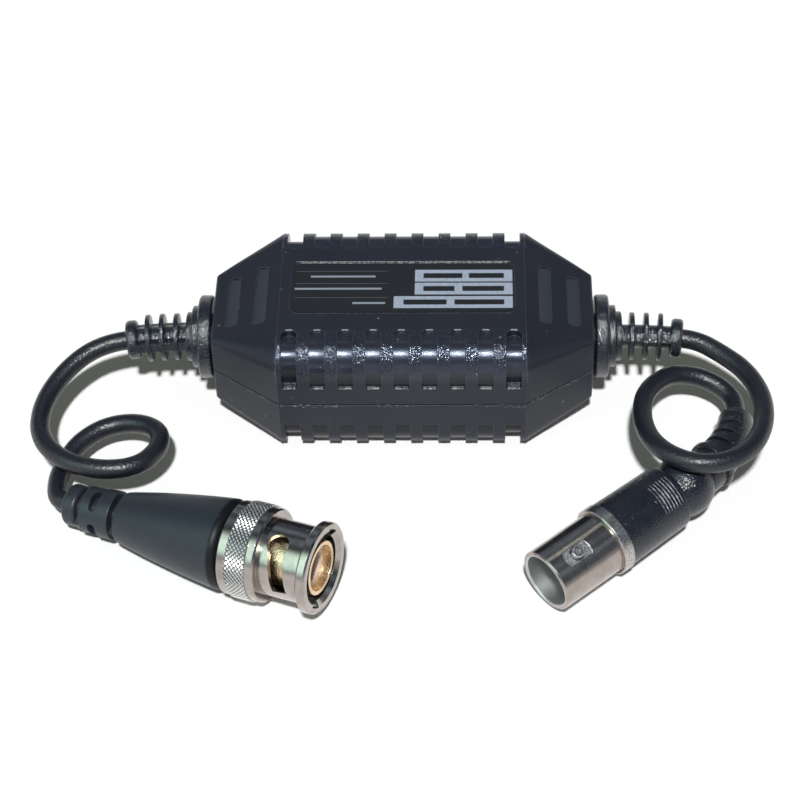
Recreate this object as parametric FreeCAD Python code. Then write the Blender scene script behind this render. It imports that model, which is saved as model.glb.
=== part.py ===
import FreeCAD
import Part
import math
import os

from FreeCAD import Vector

# A video ground loop isolator: a ribbed two-shell housing with a transformer board inside, and a
# short coaxial lead at each end, one with a bayonet plug and one with a bayonet jack.
# Millimetres. +Z up, +X towards the jack's side, the origin at the middle of the housing's underside.

# Housing, outside
housing_length = 58.8
centre_length = 37.7  # the full-height block in the middle
housing_width = 29.6
end_width = 14.7  # across the flat end faces
housing_height = 21.0
end_height = 13.2
end_step = 0.45  # how far the end portions start below the block's top
centre_shoulder = 4.0
end_shoulder = 3.4  # beside the block
end_round = 1.1  # at the end face, where the rounding is smaller
end_corner = 0.6
seam_gap = 0.3
seam_depth = 0.25

# Housing, inside
wall = 2.0
tongue_height = 1.1
tongue_thickness = 0.9
tongue_clearance = 0.1

# Grip slots down both long sides
slot_count = 9
slot_pitch = 4.25
slot_width = 2.4
slot_depth = 0.5
end_slot_depth = 1.3
slot_inner_end = 9.0  # from the housing's middle plane to the slot's round end
upper_slot_foot = 3.6  # from the seam to the slot's ledge
lower_slot_foot = 4.5

# Oval grooves on the end portions
groove_width = 1.9
groove_depth = 0.45
groove_places = ((26.3, 10.6), (21.9, 12.4))  # distance from the middle, length

# Label recess and label
label_length = 33.8
label_width = 10.6
label_middle_y = 0.25
label_corner = 1.2
recess_depth = 0.3
recess_margin = 0.35
label_thickness = 0.15

# Cable
cable_diameter = 3.0
cable_clearance = 0.05
conductor_diameter = 0.9

# Strain reliefs at the housing's ends
relief_flange_radius = 5.0  # inside the housing
relief_flange_thickness = 1.2
relief_neck_radius = 3.6
relief_clearance = 0.05
relief_gap = 0.3  # between the end face and the large disc
relief_disc_radius = 6.5
relief_disc_thickness = 2.2
relief_disc_round = 0.5
relief_second_radius = 4.85
relief_second_thickness = 1.0
relief_third_radius = 3.85
relief_third_thickness = 0.85
relief_step_gap = 0.1  # shallow grooves between the discs
relief_step_round = 0.2
relief_rib_radius = 3.7
relief_rib_width = 1.06
relief_rib_tip = 0.72  # the ribs narrow towards their tips
relief_rib_round = 0.2
relief_window = 1.12
relief_rib_count = 3
relief_core_radius = 1.8
relief_spine_radius = 3.3
relief_spine_width = 1.4
left_spine_angle = 75.0  # from straight up towards the camera
right_spine_angle = 50.0
relief_collar_radius = 3.05
relief_collar_length = 1.9
relief_collar_round = 0.6
relief_bend_radius = 75.0  # the weight of the cable bends the ribbed part
left_relief_droop = 32.0  # the bend's direction, from level towards the camera to straight down
right_relief_droop = 3.0

# Circuit board and what is on it
board_length = 40.0
board_width = 20.0
board_thickness = 1.2
board_post_radius = 1.6
board_post_x = 16.0
board_post_y = 7.5
core_outer_radius = 7.2
core_inner_radius = 4.0
core_height = 6.0
winding_thickness = 0.8
winding_sector = 140.0
core_clearance = 0.05
capacitor_x = 12.0
capacitor_y = 5.6  # beside the lead's bare end
capacitor_diameter = 6.0
capacitor_thickness = 2.4
capacitor_legs = 1.0
lead_overlap = 4.0  # how far a lead's jacket lies over the board
lead_stub = 3.0  # bare conductor past the jacket

# Bayonet coupling nut, along the plug's axis from the nut's back face
nut_length = 14.3
nut_back_radius = 7.05
nut_back_chamfer = 0.35
knurl_start = 1.6
knurl_end = 4.85
knurl_radius = 7.15
nut_step_place = 6.15
nut_sleeve_radius = 5.75
rim_radius = 6.85
rim_length = 1.5
rim_chamfer = 0.25
nut_bore_radius = 4.95
nut_mouth_radius = 5.65
nut_mouth_depth = 0.6
nut_cavity_start = 0.9
nut_cavity_end = 5.0
nut_cavity_radius = 5.9
nut_neck_clearance = 0.08
cam_width = 2.3
cam_outer_radius = 5.53
cam_hole_diameter = 3.3
cam_hole_place = 8.7
cam_entry_place = 10.1
cam_entry_radius = 5.9  # at the mouth
cam_hole_angle = 20.0  # about the plug's axis, from straight up towards the camera
cam_turn = 112.0
cam_open_turn = 76.0  # the stretch that is cut through the sleeve

# Plug body, contact and insulator, on the same axis
plug_neck_radius = 4.45
plug_flange_radius = 5.6
plug_flange_start = 2.4
plug_flange_end = 3.6
plug_contact_radius = 4.05
plug_contact_wall = 0.6
plug_contact_end = 13.8
plug_insulator_end = 12.4
plug_insulator_recess = 5.8
plug_insulator_recess_radius = 2.45
insulator_clearance = 0.03
plug_pin_radius = 0.675
plug_pin_root_radius = 0.95
plug_pin_end = 11.4
gasket_seat_radius = 3.75  # the gasket lies in an undercut
gasket_radius = 4.8
gasket_thickness = 0.8
thrust_washer_thickness = 0.35
thrust_washer_radius = 5.7
spring_washer_thickness = 0.25
spring_washer_dish = 0.2
spring_washer_seat = 0.3
washer_clearance = 0.05
snap_ring_radius = 5.5
snap_ring_thickness = 0.6
snap_ring_start = -0.85
crimp_stem_radius = 2.6
crimp_stem_length = 4.2
ferrule_thickness = 0.5
ferrule_length = 7.0

# Plug boot, behind the nut
boot_front = -0.25
boot_front_radius = 6.1
boot_wide_place = -1.6
boot_wide_radius = 6.85
boot_middle_place = -10.3
boot_middle_radius = 5.6
boot_shoulder_place = -18.1
boot_shoulder_radius = 4.08
boot_back_length = 0.9  # from the shoulder to the back face
boot_back_radius = 3.85
boot_back_round = 0.4
boot_gap = 0.95  # the wide windows before the first ring and before the collar
boot_spine_width = 2.0
boot_spine_angle = 23.0
boot_first_ring_length = 2.15
boot_first_ring_radius = 3.75
boot_oval_gap = 1.4  # the row of oval windows between the two rings
boot_oval_length = 3.4
boot_oval_angle = 15.0
boot_second_ring_length = 1.5
boot_second_ring_radius = 3.6
boot_ring_round = 0.2
boot_collar_length = 2.35
boot_collar_radius = 3.2
boot_collar_round = 0.6
boot_core_radius = 2.2

# Where the plug lies
plug_place = (-23.86, -39.76)
plug_azimuth = -22.4
plug_tilt = 6.0  # tip up, because the nut is wider than the boot's tail

# Jack, along its axis from the mouth
barrel_radius = 4.85
barrel_bore_radius = 4.08
barrel_length = 10.9
barrel_depth = 8.6
barrel_edge = 0.2
collar_radius = 5.45
collar_length = 1.8
lug_place = 4.6
lug_diameter = 2.0
lug_reach = 5.5
lug_angle = 21.0  # about the jack's axis, from straight up towards the camera
lug_flat_length = 4.6
lug_flat_depth = 0.18
jack_insulator_start = 3.2
jack_insulator_radius = 2.38
jack_contact_radius = 1.1
jack_socket_radius = 0.72
jack_socket_depth = 5.0
jack_contact_start = 3.4
jack_stem_radius = 3.0
jack_stem_length = 4.0

# Jack overmould and its bent tail
overmould_length = 11.7
overmould_front_radius = 5.3
overmould_back_radius = 5.05
overmould_round = 0.5
grip_groove_count = 6
grip_groove_pitch = 0.56
grip_groove_width = 0.28
grip_groove_depth = 0.25
grip_groove_arc = 50.0
grip_groove_angle = 25.0
grip_groove_last = 1.2  # from the overmould's back face to the last groove
bulge_start = 0.6  # from the overmould's back face to the valley
bulge_start_radius = 4.0
bulge_reach = 3.2
bulge_radius = 4.75
bulge_end_radius = 3.2
bulge_length = 6.7
tail_run = 6.5  # from the overmould's back face to where the bend begins
tail_radius = 3.5
tail_end_radius = 2.7
tail_bend_radius = 18.0
tail_turn = 43.5
tail_drop = 14.0  # the bend's plane leans down by this much
tail_ring_radius = 3.8
tail_ring_place = 2.9
tail_ring_width = 1.1
tail_windows = (5.3, 7.6, 9.9, 12.2)  # along the bend
tail_window_width = 1.1
tail_core_radius = 1.85
tail_spine_width = 4.6

# Where the jack lies
jack_mouth_place = (21.25, -44.95)
jack_azimuth = 40.2  # of the direction from the mouth to the cable
jack_tilt = 1.5  # mouth down, because the tail is slimmer than the collar

# Routes of the two free cables, between the strain relief and the connector's tail
left_exit_run = 2.4
left_route = (
    (-50.0, -2.4, 9.2),
    (-53.9, -6.4, 7.9),
    (-56.2, -12.0, 6.9),
    (-55.7, -18.3, 6.9),
    (-51.5, -23.4, 7.4),
    (-45.4, -25.75, 7.8),
    (-39.7, -24.85, 7.7),
    (-36.85, -20.6, 7.1),
    (-37.3, -16.2, 6.3),
    (-41.1, -13.6, 5.4),
    (-46.0, -13.75, 4.7),
    (-49.8, -16.6, 4.3),
    (-51.5, -19.9, 3.9),
    (-52.45, -22.9, 3.6),
    (-52.5, -25.3, 3.6),
    (-52.2, -27.35, 3.7),
)
left_tail_run = 1.3
right_exit_run = 2.2
right_route = (
    (49.3, -3.2, 9.9),
    (52.8, -6.9, 10.0),
    (54.9, -12.2, 10.2),
    (54.9, -18.3, 10.8),
    (52.7, -24.1, 11.5),
    (48.6, -27.9, 12.3),
    (43.7, -28.7, 12.6),
    (39.6, -26.4, 12.25),
    (37.0, -22.1, 11.2),
    (36.3, -15.6, 9.6),
    (37.5, -9.7, 8.4),
    (41.2, -5.2, 7.2),
    (45.4, -4.4, 6.2),
    (48.9, -5.6, 5.4),
    (51.2, -7.9, 4.8),
)
right_tail_run = 2.2
cable_run_share = 0.45

seam_z = housing_height / 2
half_length = housing_length / 2
half_centre = centre_length / 2
half_width = housing_width / 2
axis_x = Vector(1, 0, 0)
axis_y = Vector(0, 1, 0)
axis_z = Vector(0, 0, 1)
origin = Vector(0, 0, 0)
past = 1.0  # how far a cutter reaches beyond what it cuts
cable_radius = cable_diameter / 2


def inset_line(u, first, second, inset):
    """Height at u of the line first-second after it is moved inwards by inset."""
    du = second[0] - first[0]
    dv = second[1] - first[1]
    slope = dv / du
    return first[1] + (u - first[0]) * slope - inset * math.hypot(du, dv) / du


def polygon_face(points):
    corners = [Vector(*p) for p in points]
    return Part.Face(Part.makePolygon(corners + corners[:1]))


def box_between(low, high):
    size = [high[i] - low[i] for i in range(3)]
    return Part.makeBox(size[0], size[1], size[2], Vector(*low))


def edges_where(shape, test):
    return [e for e in shape.Edges if test(e)]


def fuse_all(shapes):
    result = shapes[0]
    if len(shapes) > 1:
        result = result.multiFuse(shapes[1:])
    return result.removeSplitter()


def revolve_profile(points, angle=360.0):
    """Turn a closed outline of (along the axis, radius) points about the X axis."""
    face = polygon_face([(s, 0, r) for s, r in points])
    return face.revolve(origin, axis_x, angle)


def ring(start, end, outer, inner):
    """A plain ring about the X axis."""
    body = Part.makeCylinder(outer, end - start, Vector(start, 0, 0), axis_x)
    if inner > 0:
        hole = Part.makeCylinder(inner, end - start + 2 * past, Vector(start - past, 0, 0), axis_x)
        body = body.cut(hole)
    return body


def turned(shape, angle):
    """A copy turned about the X axis."""
    copy = shape.copy()
    copy.rotate(origin, axis_x, angle)
    return copy


def round_circles(shape, radius, places):
    """Round the circular edges about the X axis at the given (place, radius) pairs."""
    chosen = []
    for place, size in places:
        for edge in shape.Edges:
            curve = edge.Curve
            if not isinstance(curve, Part.Circle) or abs(curve.Radius - size) > 0.01:
                continue
            if abs(curve.Center.x - place) < 0.01:
                chosen.append(edge)
    return shape.makeFillet(radius, chosen)


def frame_matrix(place, direction):
    """The placement of a local frame whose X axis is direction and whose Z axis is as upright as it can be."""
    x = Vector(direction).normalize()
    y = axis_z.cross(x).normalize()
    z = x.cross(y)
    m = FreeCAD.Matrix(x.x, y.x, z.x, place.x, x.y, y.y, z.y, place.y, x.z, y.z, z.z, place.z, 0, 0, 0, 1)
    return FreeCAD.Placement(m)


def placed(shape, placement):
    copy = shape.copy()
    copy.Placement = placement.multiply(copy.Placement)
    return copy


def spine_bar(start, stop, reach, width):
    """A bar along the X axis that crosses it from side to side."""
    bar = Part.makeBox(stop - start, 2 * reach, width)
    bar.translate(Vector(start, -reach, -width / 2))
    return bar


def window_ring(width, outer, core, spine_width, spine_angle):
    """Cutter for one pair of windows in a strain relief: a ring round the core without its two spines."""
    cutter = ring(-width / 2, width / 2, outer, core)
    spine = spine_bar(-width / 2 - past, width / 2 + past, outer + past, spine_width)
    return cutter.cut(turned(spine, spine_angle))


def bend_place(bend, distance):
    """Where a section lies that was on the X axis before the bend: bend is start, side and radius."""
    start, side, radius = bend
    angle = distance / radius
    place = axis_x * (start + radius * math.sin(angle)) + side * (radius * (1 - math.cos(angle)))
    return FreeCAD.Placement(place, FreeCAD.Rotation(axis_x.cross(side), math.degrees(angle)))


def bent_tube(bend, length, start_radius, end_radius):
    """A round bar along a bend, tapering from one radius to the other."""
    places = [bend_place(bend, distance) for distance in (0, length / 2, length)]
    path = Part.Wire(Part.Arc(*[p.Base for p in places]).toShape())
    sections = []
    for place, radius in ((places[0], start_radius), (places[2], end_radius)):
        sections.append(Part.Wire(Part.makeCircle(radius, place.Base, place.Rotation.multVec(axis_x))))
    if abs(start_radius - end_radius) < 1e-6:
        return path.makePipeShell(sections[:1], True, True)
    return path.makePipeShell(sections, True, False)


# Housing


def centre_form(inset, extra=0.0):
    """The block in the middle, its sides moved inwards by inset."""
    low = (-half_centre - extra, -half_width + inset, inset)
    high = (half_centre + extra, half_width - inset, housing_height - inset)
    block = box_between(low, high)
    along = edges_where(block, lambda e: abs(e.tangentAt(e.FirstParameter).x) > 0.99)
    return block.makeFillet(centre_shoulder - inset, along)


def is_slanted(edge):
    direction = edge.tangentAt(edge.FirstParameter)
    return min(abs(direction.x), abs(direction.y), abs(direction.z)) > 0.05


def end_quarter(inset):
    """A quarter of the right-hand end portion, behind the middle and above the seam. Its rounding tapers."""
    plan_corner = (half_centre, half_width)
    plan_end = (half_length, end_width / 2)
    top_corner = (half_centre, housing_height / 2 - end_step)
    top_end = (half_length, end_height / 2)
    near = half_centre
    far = half_length - inset
    y_near = inset_line(near, plan_corner, plan_end, inset)
    y_far = inset_line(far, plan_corner, plan_end, inset)
    z_near = seam_z + inset_line(near, top_corner, top_end, inset)
    z_far = seam_z + inset_line(far, top_corner, top_end, inset)
    plan = polygon_face([(near, 0, seam_z), (far, 0, seam_z), (far, y_far, seam_z), (near, y_near, seam_z)])
    side = polygon_face([(near, 0, seam_z), (far, 0, seam_z), (far, 0, z_far), (near, 0, z_near)])
    body = plan.extrude(Vector(0, 0, housing_height)).common(side.extrude(Vector(0, housing_width, 0)))
    slanted = edges_where(body, is_slanted)[0]
    radii = [max(end_shoulder - inset, 0.4), max(end_round - inset, 0.3)]
    if slanted.Vertexes[0].Point.x > slanted.Vertexes[1].Point.x:
        radii.reverse()
    return body.makeFillet(radii[0], radii[1], [slanted])


def end_form(inset):
    """The right-hand end portion, which narrows in plan and in height."""
    quarter = end_quarter(inset)
    half = quarter.fuse(quarter.mirror(origin, axis_y)).removeSplitter()
    body = half.fuse(half.mirror(Vector(0, 0, seam_z), axis_z)).removeSplitter()
    if inset < end_corner:
        last = half_length - inset
        around = edges_where(body, lambda e: abs(e.CenterOfMass.x - last) < 0.01)
        body = body.makeFillet(end_corner - inset, around)
    return body


def mirrored_x(shape):
    return shape.mirror(origin, axis_x)


def housing_form(inset):
    end = end_form(inset)
    return fuse_all([centre_form(inset), end, mirrored_x(end)])


def side_slots(first_foot, above):
    """Cutters for the grip slots of one shell: upright slabs less the form that their floors follow."""
    shallow = []
    deep = []
    reach = seam_z + past
    for i in range(slot_count):
        x = (i - (slot_count - 1) / 2) * slot_pitch
        for side in (-1, 1):
            y = slot_inner_end + slot_width / 2
            low = seam_z + first_foot if above else seam_z - first_foot - reach
            slab = Part.makeBox(slot_width, half_width, reach, Vector(x - slot_width / 2, y, low))
            tip = Part.makeCylinder(slot_width / 2, reach, Vector(x, y, low), axis_z)
            slab = slab.fuse(tip)
            if side < 0:
                slab = slab.mirror(origin, axis_y)
            (deep if i in (0, slot_count - 1) else shallow).append(slab)
    cut_shallow = Part.makeCompound(shallow).cut(centre_form(slot_depth, past))
    cut_deep = Part.makeCompound(deep).cut(centre_form(end_slot_depth, past))
    return cut_shallow.Solids + cut_deep.Solids


def end_grooves(above):
    """Oval grooves across the sloping face of each end portion, their floors parallel to it."""
    cutters = []
    floor = end_form(groove_depth)
    for x, length in groove_places:
        half = length / 2 - groove_width / 2
        low = seam_z if above else -past
        height = seam_z + past
        bar = Part.makeBox(groove_width, 2 * half, height, Vector(x - groove_width / 2, -half, low))
        tips = [Part.makeCylinder(groove_width / 2, height, Vector(x, y, low), axis_z) for y in (-half, half)]
        cutter = fuse_all([bar] + tips).cut(floor)
        cutters += [cutter, mirrored_x(cutter)]
    return cutters


def rounded_plate(length, width, corner, low, thickness, y):
    plate = Part.makeBox(length, width, thickness, Vector(-length / 2, y - width / 2, low))
    upright = edges_where(plate, lambda e: abs(e.tangentAt(e.FirstParameter).z) > 0.99)
    return plate.makeFillet(corner, upright)


def relief_holes():
    radius = relief_neck_radius + relief_clearance
    length = housing_length + 2 * past
    return Part.makeCylinder(radius, length, Vector(-length / 2, 0, seam_z), axis_x)


def seam_band(outer, inner, low, high):
    """The ring between two insets of the housing's form, from low to high."""
    slab = box_between((-half_length - past, -half_width - past, low), (half_length + past, half_width + past, high))
    return housing_form(outer).common(slab).cut(housing_form(inner))


def make_shells():
    form = housing_form(0)
    cavity = housing_form(wall)
    above = box_between((-half_length - past, -half_width - past, seam_z),
                        (half_length + past, half_width + past, housing_height + past))
    below = box_between((-half_length - past, -half_width - past, -past),
                        (half_length + past, half_width + past, seam_z))
    hollow = form.cut(cavity)

    upper = hollow.common(above)
    recess_bottom = housing_height - recess_depth
    recess = rounded_plate(label_length + 2 * recess_margin, label_width + 2 * recess_margin,
                           label_corner + recess_margin, recess_bottom, recess_depth + past, label_middle_y)
    groove = seam_band(0, seam_depth, seam_z, seam_z + seam_gap)
    tongue_seat = housing_form(wall - tongue_thickness - tongue_clearance).common(
        box_between((-half_length, -half_width, seam_z),
                    (half_length, half_width, seam_z + tongue_height + tongue_clearance)))
    cutters = side_slots(upper_slot_foot, True) + end_grooves(True)
    upper = upper.cut(cutters + [recess, groove, tongue_seat, relief_holes()])

    lower = hollow.common(below)
    tongue = seam_band(wall - tongue_thickness, wall, seam_z - tongue_height, seam_z + tongue_height)
    board_bottom = board_top() - board_thickness
    posts = []
    for x in (-board_post_x, board_post_x):
        for y in (-board_post_y, board_post_y):
            height = board_bottom - wall + past / 2
            posts.append(Part.makeCylinder(board_post_radius, height, Vector(x, y, wall - past / 2), axis_z))
    lower = fuse_all([lower, tongue] + posts)
    lower = lower.cut(side_slots(lower_slot_foot, False) + end_grooves(False) + [relief_holes()])
    return upper, lower


def make_label():
    low = housing_height - recess_depth
    return rounded_plate(label_length, label_width, label_corner, low, label_thickness, label_middle_y)


# Circuit board, transformer and leads


def board_top():
    return seam_z - cable_radius


def make_board():
    low = board_top() - board_thickness
    return Part.makeBox(board_length, board_width, board_thickness, Vector(-board_length / 2, -board_width / 2, low))


def core_bottom():
    return board_top() + winding_thickness


def make_core():
    base = Vector(0, 0, core_bottom())
    body = Part.makeCylinder(core_outer_radius, core_height, base, axis_z)
    return body.cut(Part.makeCylinder(core_inner_radius, core_height, base, axis_z))


def make_winding(middle_angle):
    """One winding: a sector of wire round the core's section."""
    outer = core_outer_radius + core_clearance
    inner = core_inner_radius - core_clearance
    low = core_bottom()
    high = core_bottom() + core_height + core_clearance
    t = winding_thickness

    def section(grow):
        points = [(inner - grow, 0, low - grow), (outer + grow, 0, low - grow),
                  (outer + grow, 0, high + grow), (inner - grow, 0, high + grow)]
        face = polygon_face(points)
        return face

    face = section(t).cut(section(0))
    face.rotate(origin, axis_z, middle_angle - winding_sector / 2)
    return face.revolve(origin, axis_z, winding_sector)


def make_capacitor(side):
    """A disc capacitor standing on two wire legs."""
    low = board_top()
    middle = side * capacitor_y
    centre = Vector(side * capacitor_x, middle - capacitor_thickness / 2, low + capacitor_legs + capacitor_diameter / 2)
    body = Part.makeCylinder(capacitor_diameter / 2, capacitor_thickness, centre, axis_y)
    rims = edges_where(body, lambda e: isinstance(e.Curve, Part.Circle))
    body = body.makeFillet(capacitor_thickness / 3, rims)
    legs = []
    for offset in (-capacitor_diameter / 4, capacitor_diameter / 4):
        foot = Vector(side * capacitor_x + offset, middle, low)
        legs.append(Part.makeCylinder(conductor_diameter / 2, capacitor_legs + capacitor_diameter / 3, foot, axis_z))
    return fuse_all([body] + legs)


def make_lead(side):
    """The cable's end inside the housing: jacket through the strain relief, then the bare conductor."""
    bend = relief_bend(side)
    inner_end = board_length / 2 - lead_overlap - half_length
    jacket = ring(inner_end, bend[0], cable_radius, 0)
    bent = bent_tube(bend, relief_bend_length(), cable_radius, cable_radius)
    stub = ring(inner_end - lead_stub, inner_end, conductor_diameter / 2, 0)
    lead = fuse_all([jacket, bent, stub])
    lead.translate(Vector(half_length, 0, seam_z))
    return lead if side > 0 else mirrored_x(lead)


# Strain reliefs


def relief_stations():
    """Places along the relief, from the housing's end face: discs, ribs and collar."""
    disc = (relief_gap, relief_gap + relief_disc_thickness)
    second = (disc[1] + relief_step_gap, disc[1] + relief_step_gap + relief_second_thickness)
    third = (second[1] + relief_step_gap, second[1] + relief_step_gap + relief_third_thickness)
    ribs = []
    start = third[1] + relief_window
    for _ in range(relief_rib_count):
        ribs.append((start, start + relief_rib_width))
        start += relief_rib_width + relief_window
    collar = (start, start + relief_collar_length)
    return disc, second, third, ribs, collar


def relief_bend(side):
    """The bend of one relief's ribbed part, from the third disc on, as it is before it is mirrored."""
    droop = math.radians(right_relief_droop if side > 0 else left_relief_droop)
    third = relief_stations()[2]
    return third[1], Vector(0, -math.cos(droop), -math.sin(droop)), relief_bend_radius


def relief_bend_length():
    stations = relief_stations()
    return stations[4][1] - stations[2][1]


def relief_end(side):
    """Place and outward direction of the relief's outer end, where the free cable starts."""
    place = bend_place(relief_bend(side), relief_bend_length())
    base = place.Base + Vector(half_length, 0, seam_z)
    direction = place.Rotation.multVec(axis_x)
    if side < 0:
        base.x = -base.x
        direction.x = -direction.x
    return base, direction


def make_rib(width, tip_width, radius):
    """One rib about the X axis, narrower at its tip."""
    root = cable_radius
    rib = revolve_profile([(-width / 2, 0), (-width / 2, root), (-tip_width / 2, radius), (tip_width / 2, radius),
                           (width / 2, root), (width / 2, 0)])
    return round_circles(rib, relief_rib_round, [(-tip_width / 2, radius), (tip_width / 2, radius)])


def make_relief(side):
    disc, second, third, ribs, collar = relief_stations()
    bend = relief_bend(side)
    inside = -wall - relief_clearance
    plain = ring(disc[0], disc[1], relief_disc_radius, 0)
    plain = round_circles(plain, relief_disc_round, [(disc[0], relief_disc_radius), (disc[1], relief_disc_radius)])
    second_disc = ring(second[0], second[1], relief_second_radius, 0)
    second_disc = round_circles(second_disc, relief_step_round, [(second[1], relief_second_radius)])
    third_disc = ring(third[0], third[1], relief_third_radius, 0)
    third_disc = round_circles(third_disc, relief_step_round, [(third[1], relief_third_radius)])
    core = bent_tube(bend, collar[0] + relief_collar_round - bend[0], relief_core_radius, relief_core_radius)
    pieces = [
        ring(inside - relief_flange_thickness, inside, relief_flange_radius, 0),
        ring(inside - relief_flange_thickness, disc[0], relief_neck_radius, 0),
        plain,
        ring(disc[1], third[0], relief_neck_radius, 0),
        second_disc,
        third_disc,
        core,
    ]
    for start, stop in ribs:
        rib = make_rib(relief_rib_width, relief_rib_tip, relief_rib_radius)
        pieces.append(placed(rib, bend_place(bend, (start + stop) / 2 - bend[0])))
    end = ring(-relief_collar_length / 2, relief_collar_length / 2, relief_collar_radius, 0)
    ends = [(relief_collar_length / 2, relief_collar_radius), (-relief_collar_length / 2, relief_collar_radius)]
    end = round_circles(end, relief_collar_round, ends)
    pieces.append(placed(end, bend_place(bend, (collar[0] + collar[1]) / 2 - bend[0])))
    # the spines join the ribs, one short bar for each window
    angle = right_spine_angle if side > 0 else left_spine_angle
    overlap = relief_rib_width / 3
    starts = [third[1]] + [stop for _, stop in ribs]
    for start in starts:
        bar = spine_bar(-relief_window / 2 - overlap, relief_window / 2 + overlap, relief_spine_radius, relief_spine_width)
        bar = bar.common(ring(-relief_window, relief_window, relief_spine_radius, 0))
        middle = start + relief_window / 2 - bend[0]
        pieces.append(placed(turned(bar, 90 + angle), bend_place(bend, middle)))
    body = fuse_all(pieces)
    bore_start = inside - relief_flange_thickness - past
    bore = ring(bore_start, bend[0], cable_radius + cable_clearance, 0)
    bent_bore = bent_tube(bend, relief_bend_length() + past, cable_radius + cable_clearance,
                          cable_radius + cable_clearance)
    body = body.cut([bore, bent_bore])
    body.translate(Vector(half_length, 0, seam_z))
    return body if side > 0 else mirrored_x(body)


# Plug


def plug_frame():
    azimuth = math.radians(plug_azimuth)
    tilt = math.radians(plug_tilt)
    direction = Vector(math.cos(tilt) * math.cos(azimuth), math.cos(tilt) * math.sin(azimuth), math.sin(tilt))
    # it rests on the boot's widest place, or on the nut if that reaches lower
    lowest = max(boot_wide_radius * math.cos(tilt) - boot_wide_place * math.sin(tilt),
                 nut_back_radius * math.cos(tilt) - nut_back_chamfer * math.sin(tilt),
                 knurl_radius * math.cos(tilt) - knurl_start * math.sin(tilt))
    return frame_matrix(Vector(plug_place[0], plug_place[1], lowest), direction)


def make_nut():
    rim_start = nut_length - rim_length
    outline = [
        (0, nut_neck_radius()),
        (0, nut_back_radius - nut_back_chamfer),
        (nut_back_chamfer, nut_back_radius),
        (knurl_start, nut_back_radius),
        (knurl_start, knurl_radius),
        (knurl_end, knurl_radius),
        (knurl_end, nut_back_radius),
        (nut_step_place - rim_chamfer, nut_back_radius),
        (nut_step_place, nut_back_radius - rim_chamfer),
        (nut_step_place, nut_sleeve_radius),
        (rim_start, nut_sleeve_radius),
        (rim_start, rim_radius - rim_chamfer),
        (rim_start + rim_chamfer, rim_radius),
        (nut_length - rim_chamfer, rim_radius),
        (nut_length, rim_radius - rim_chamfer),
        (nut_length, nut_mouth_radius),
        (nut_length - nut_mouth_depth, nut_bore_radius),
        (nut_cavity_end, nut_bore_radius),
        (nut_cavity_end, nut_cavity_radius),
        (nut_cavity_start, nut_cavity_radius),
        (nut_cavity_start, nut_neck_radius()),
    ]
    nut = revolve_profile(outline)
    cutters = []
    for half_turn in (0, 180):
        entry_angle = cam_hole_angle + cam_turn + half_turn
        hole = Part.makeCylinder(cam_hole_diameter / 2, rim_radius, Vector(cam_hole_place, 0, 0), axis_z)
        cutters.append(turned(hole, cam_hole_angle + half_turn))
        # the open stretch, which leans forwards from the hole
        cutters.append(cam_sweep(cam_open_turn, nut_sleeve_radius + past, half_turn))
        # the groove inside the sleeve, on to the entry
        cutters.append(cam_sweep(cam_turn, cam_outer_radius, half_turn))
        entry = box_between((cam_entry_place - cam_width / 2, -cam_width / 2, 0),
                            (nut_length + past, cam_width / 2, rim_radius))
        groove = entry.common(ring(0, nut_length + 2 * past, cam_outer_radius, 0))
        notch = entry.common(ring(rim_start, nut_length + 2 * past, cam_entry_radius, 0))
        cutters.append(turned(groove, entry_angle))
        cutters.append(turned(notch, entry_angle))
    keep_bore = ring(nut_cavity_end, nut_length, nut_bore_radius, 0)
    return nut.cut(cutters).cut(keep_bore)


def nut_neck_radius():
    return plug_neck_radius + nut_neck_clearance


def cam_sweep(turn, outer, half_turn):
    """A sector of a ring, leaned so that it runs from the detent hole towards the entry."""
    lean = math.degrees(math.atan2(cam_entry_place - cam_hole_place, math.radians(cam_turn) * nut_bore_radius))
    half = cam_width / 2
    inner = nut_bore_radius - past
    face = polygon_face([(-half, 0, inner), (half, 0, inner), (half, 0, outer + past), (-half, 0, outer + past)])
    sector = face.revolve(origin, axis_x, turn)
    sector.rotate(origin, axis_x, -turn / 2)
    sector.rotate(origin, axis_z, lean)
    middle = (cam_entry_place - cam_hole_place) * turn / 2 / cam_turn
    sector.translate(Vector(cam_hole_place + middle, 0, 0))
    sector = sector.common(ring(nut_cavity_end, nut_length - rim_length, outer, 0))
    return turned(sector, cam_hole_angle + turn / 2 + half_turn)


def make_plug_body():
    """Flange, neck, outer contact and crimp stem, turned in one piece."""
    bore = plug_contact_radius - plug_contact_wall
    stem_end = snap_ring_start - snap_ring_thickness - crimp_stem_length
    neck_end = snap_ring_start - snap_ring_thickness
    outline = [
        (stem_end, cable_radius + cable_clearance),
        (stem_end, crimp_stem_radius),
        (neck_end, crimp_stem_radius),
        (neck_end, plug_neck_radius),
        (plug_flange_start, plug_neck_radius),
        (plug_flange_start, plug_flange_radius),
        (plug_flange_end, plug_flange_radius),
        (plug_flange_end, gasket_seat_radius),
        (plug_flange_end + gasket_thickness, gasket_seat_radius),
        (plug_flange_end + gasket_thickness, plug_contact_radius),
        (plug_contact_end, plug_contact_radius),
        (plug_contact_end, bore),
        (plug_flange_start, bore),
        (plug_flange_start, cable_radius + cable_clearance),
    ]
    return revolve_profile(outline)


def make_plug_insulator():
    outer = plug_contact_radius - plug_contact_wall - insulator_clearance
    root = plug_pin_root_radius + insulator_clearance
    tip_gap = plug_insulator_recess_radius
    outline = [
        (plug_flange_start, root),
        (plug_flange_start, outer),
        (plug_insulator_end, outer),
        (plug_insulator_end, tip_gap),
        (plug_insulator_recess, tip_gap),
        (plug_insulator_recess, root),
    ]
    return revolve_profile(outline)


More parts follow.
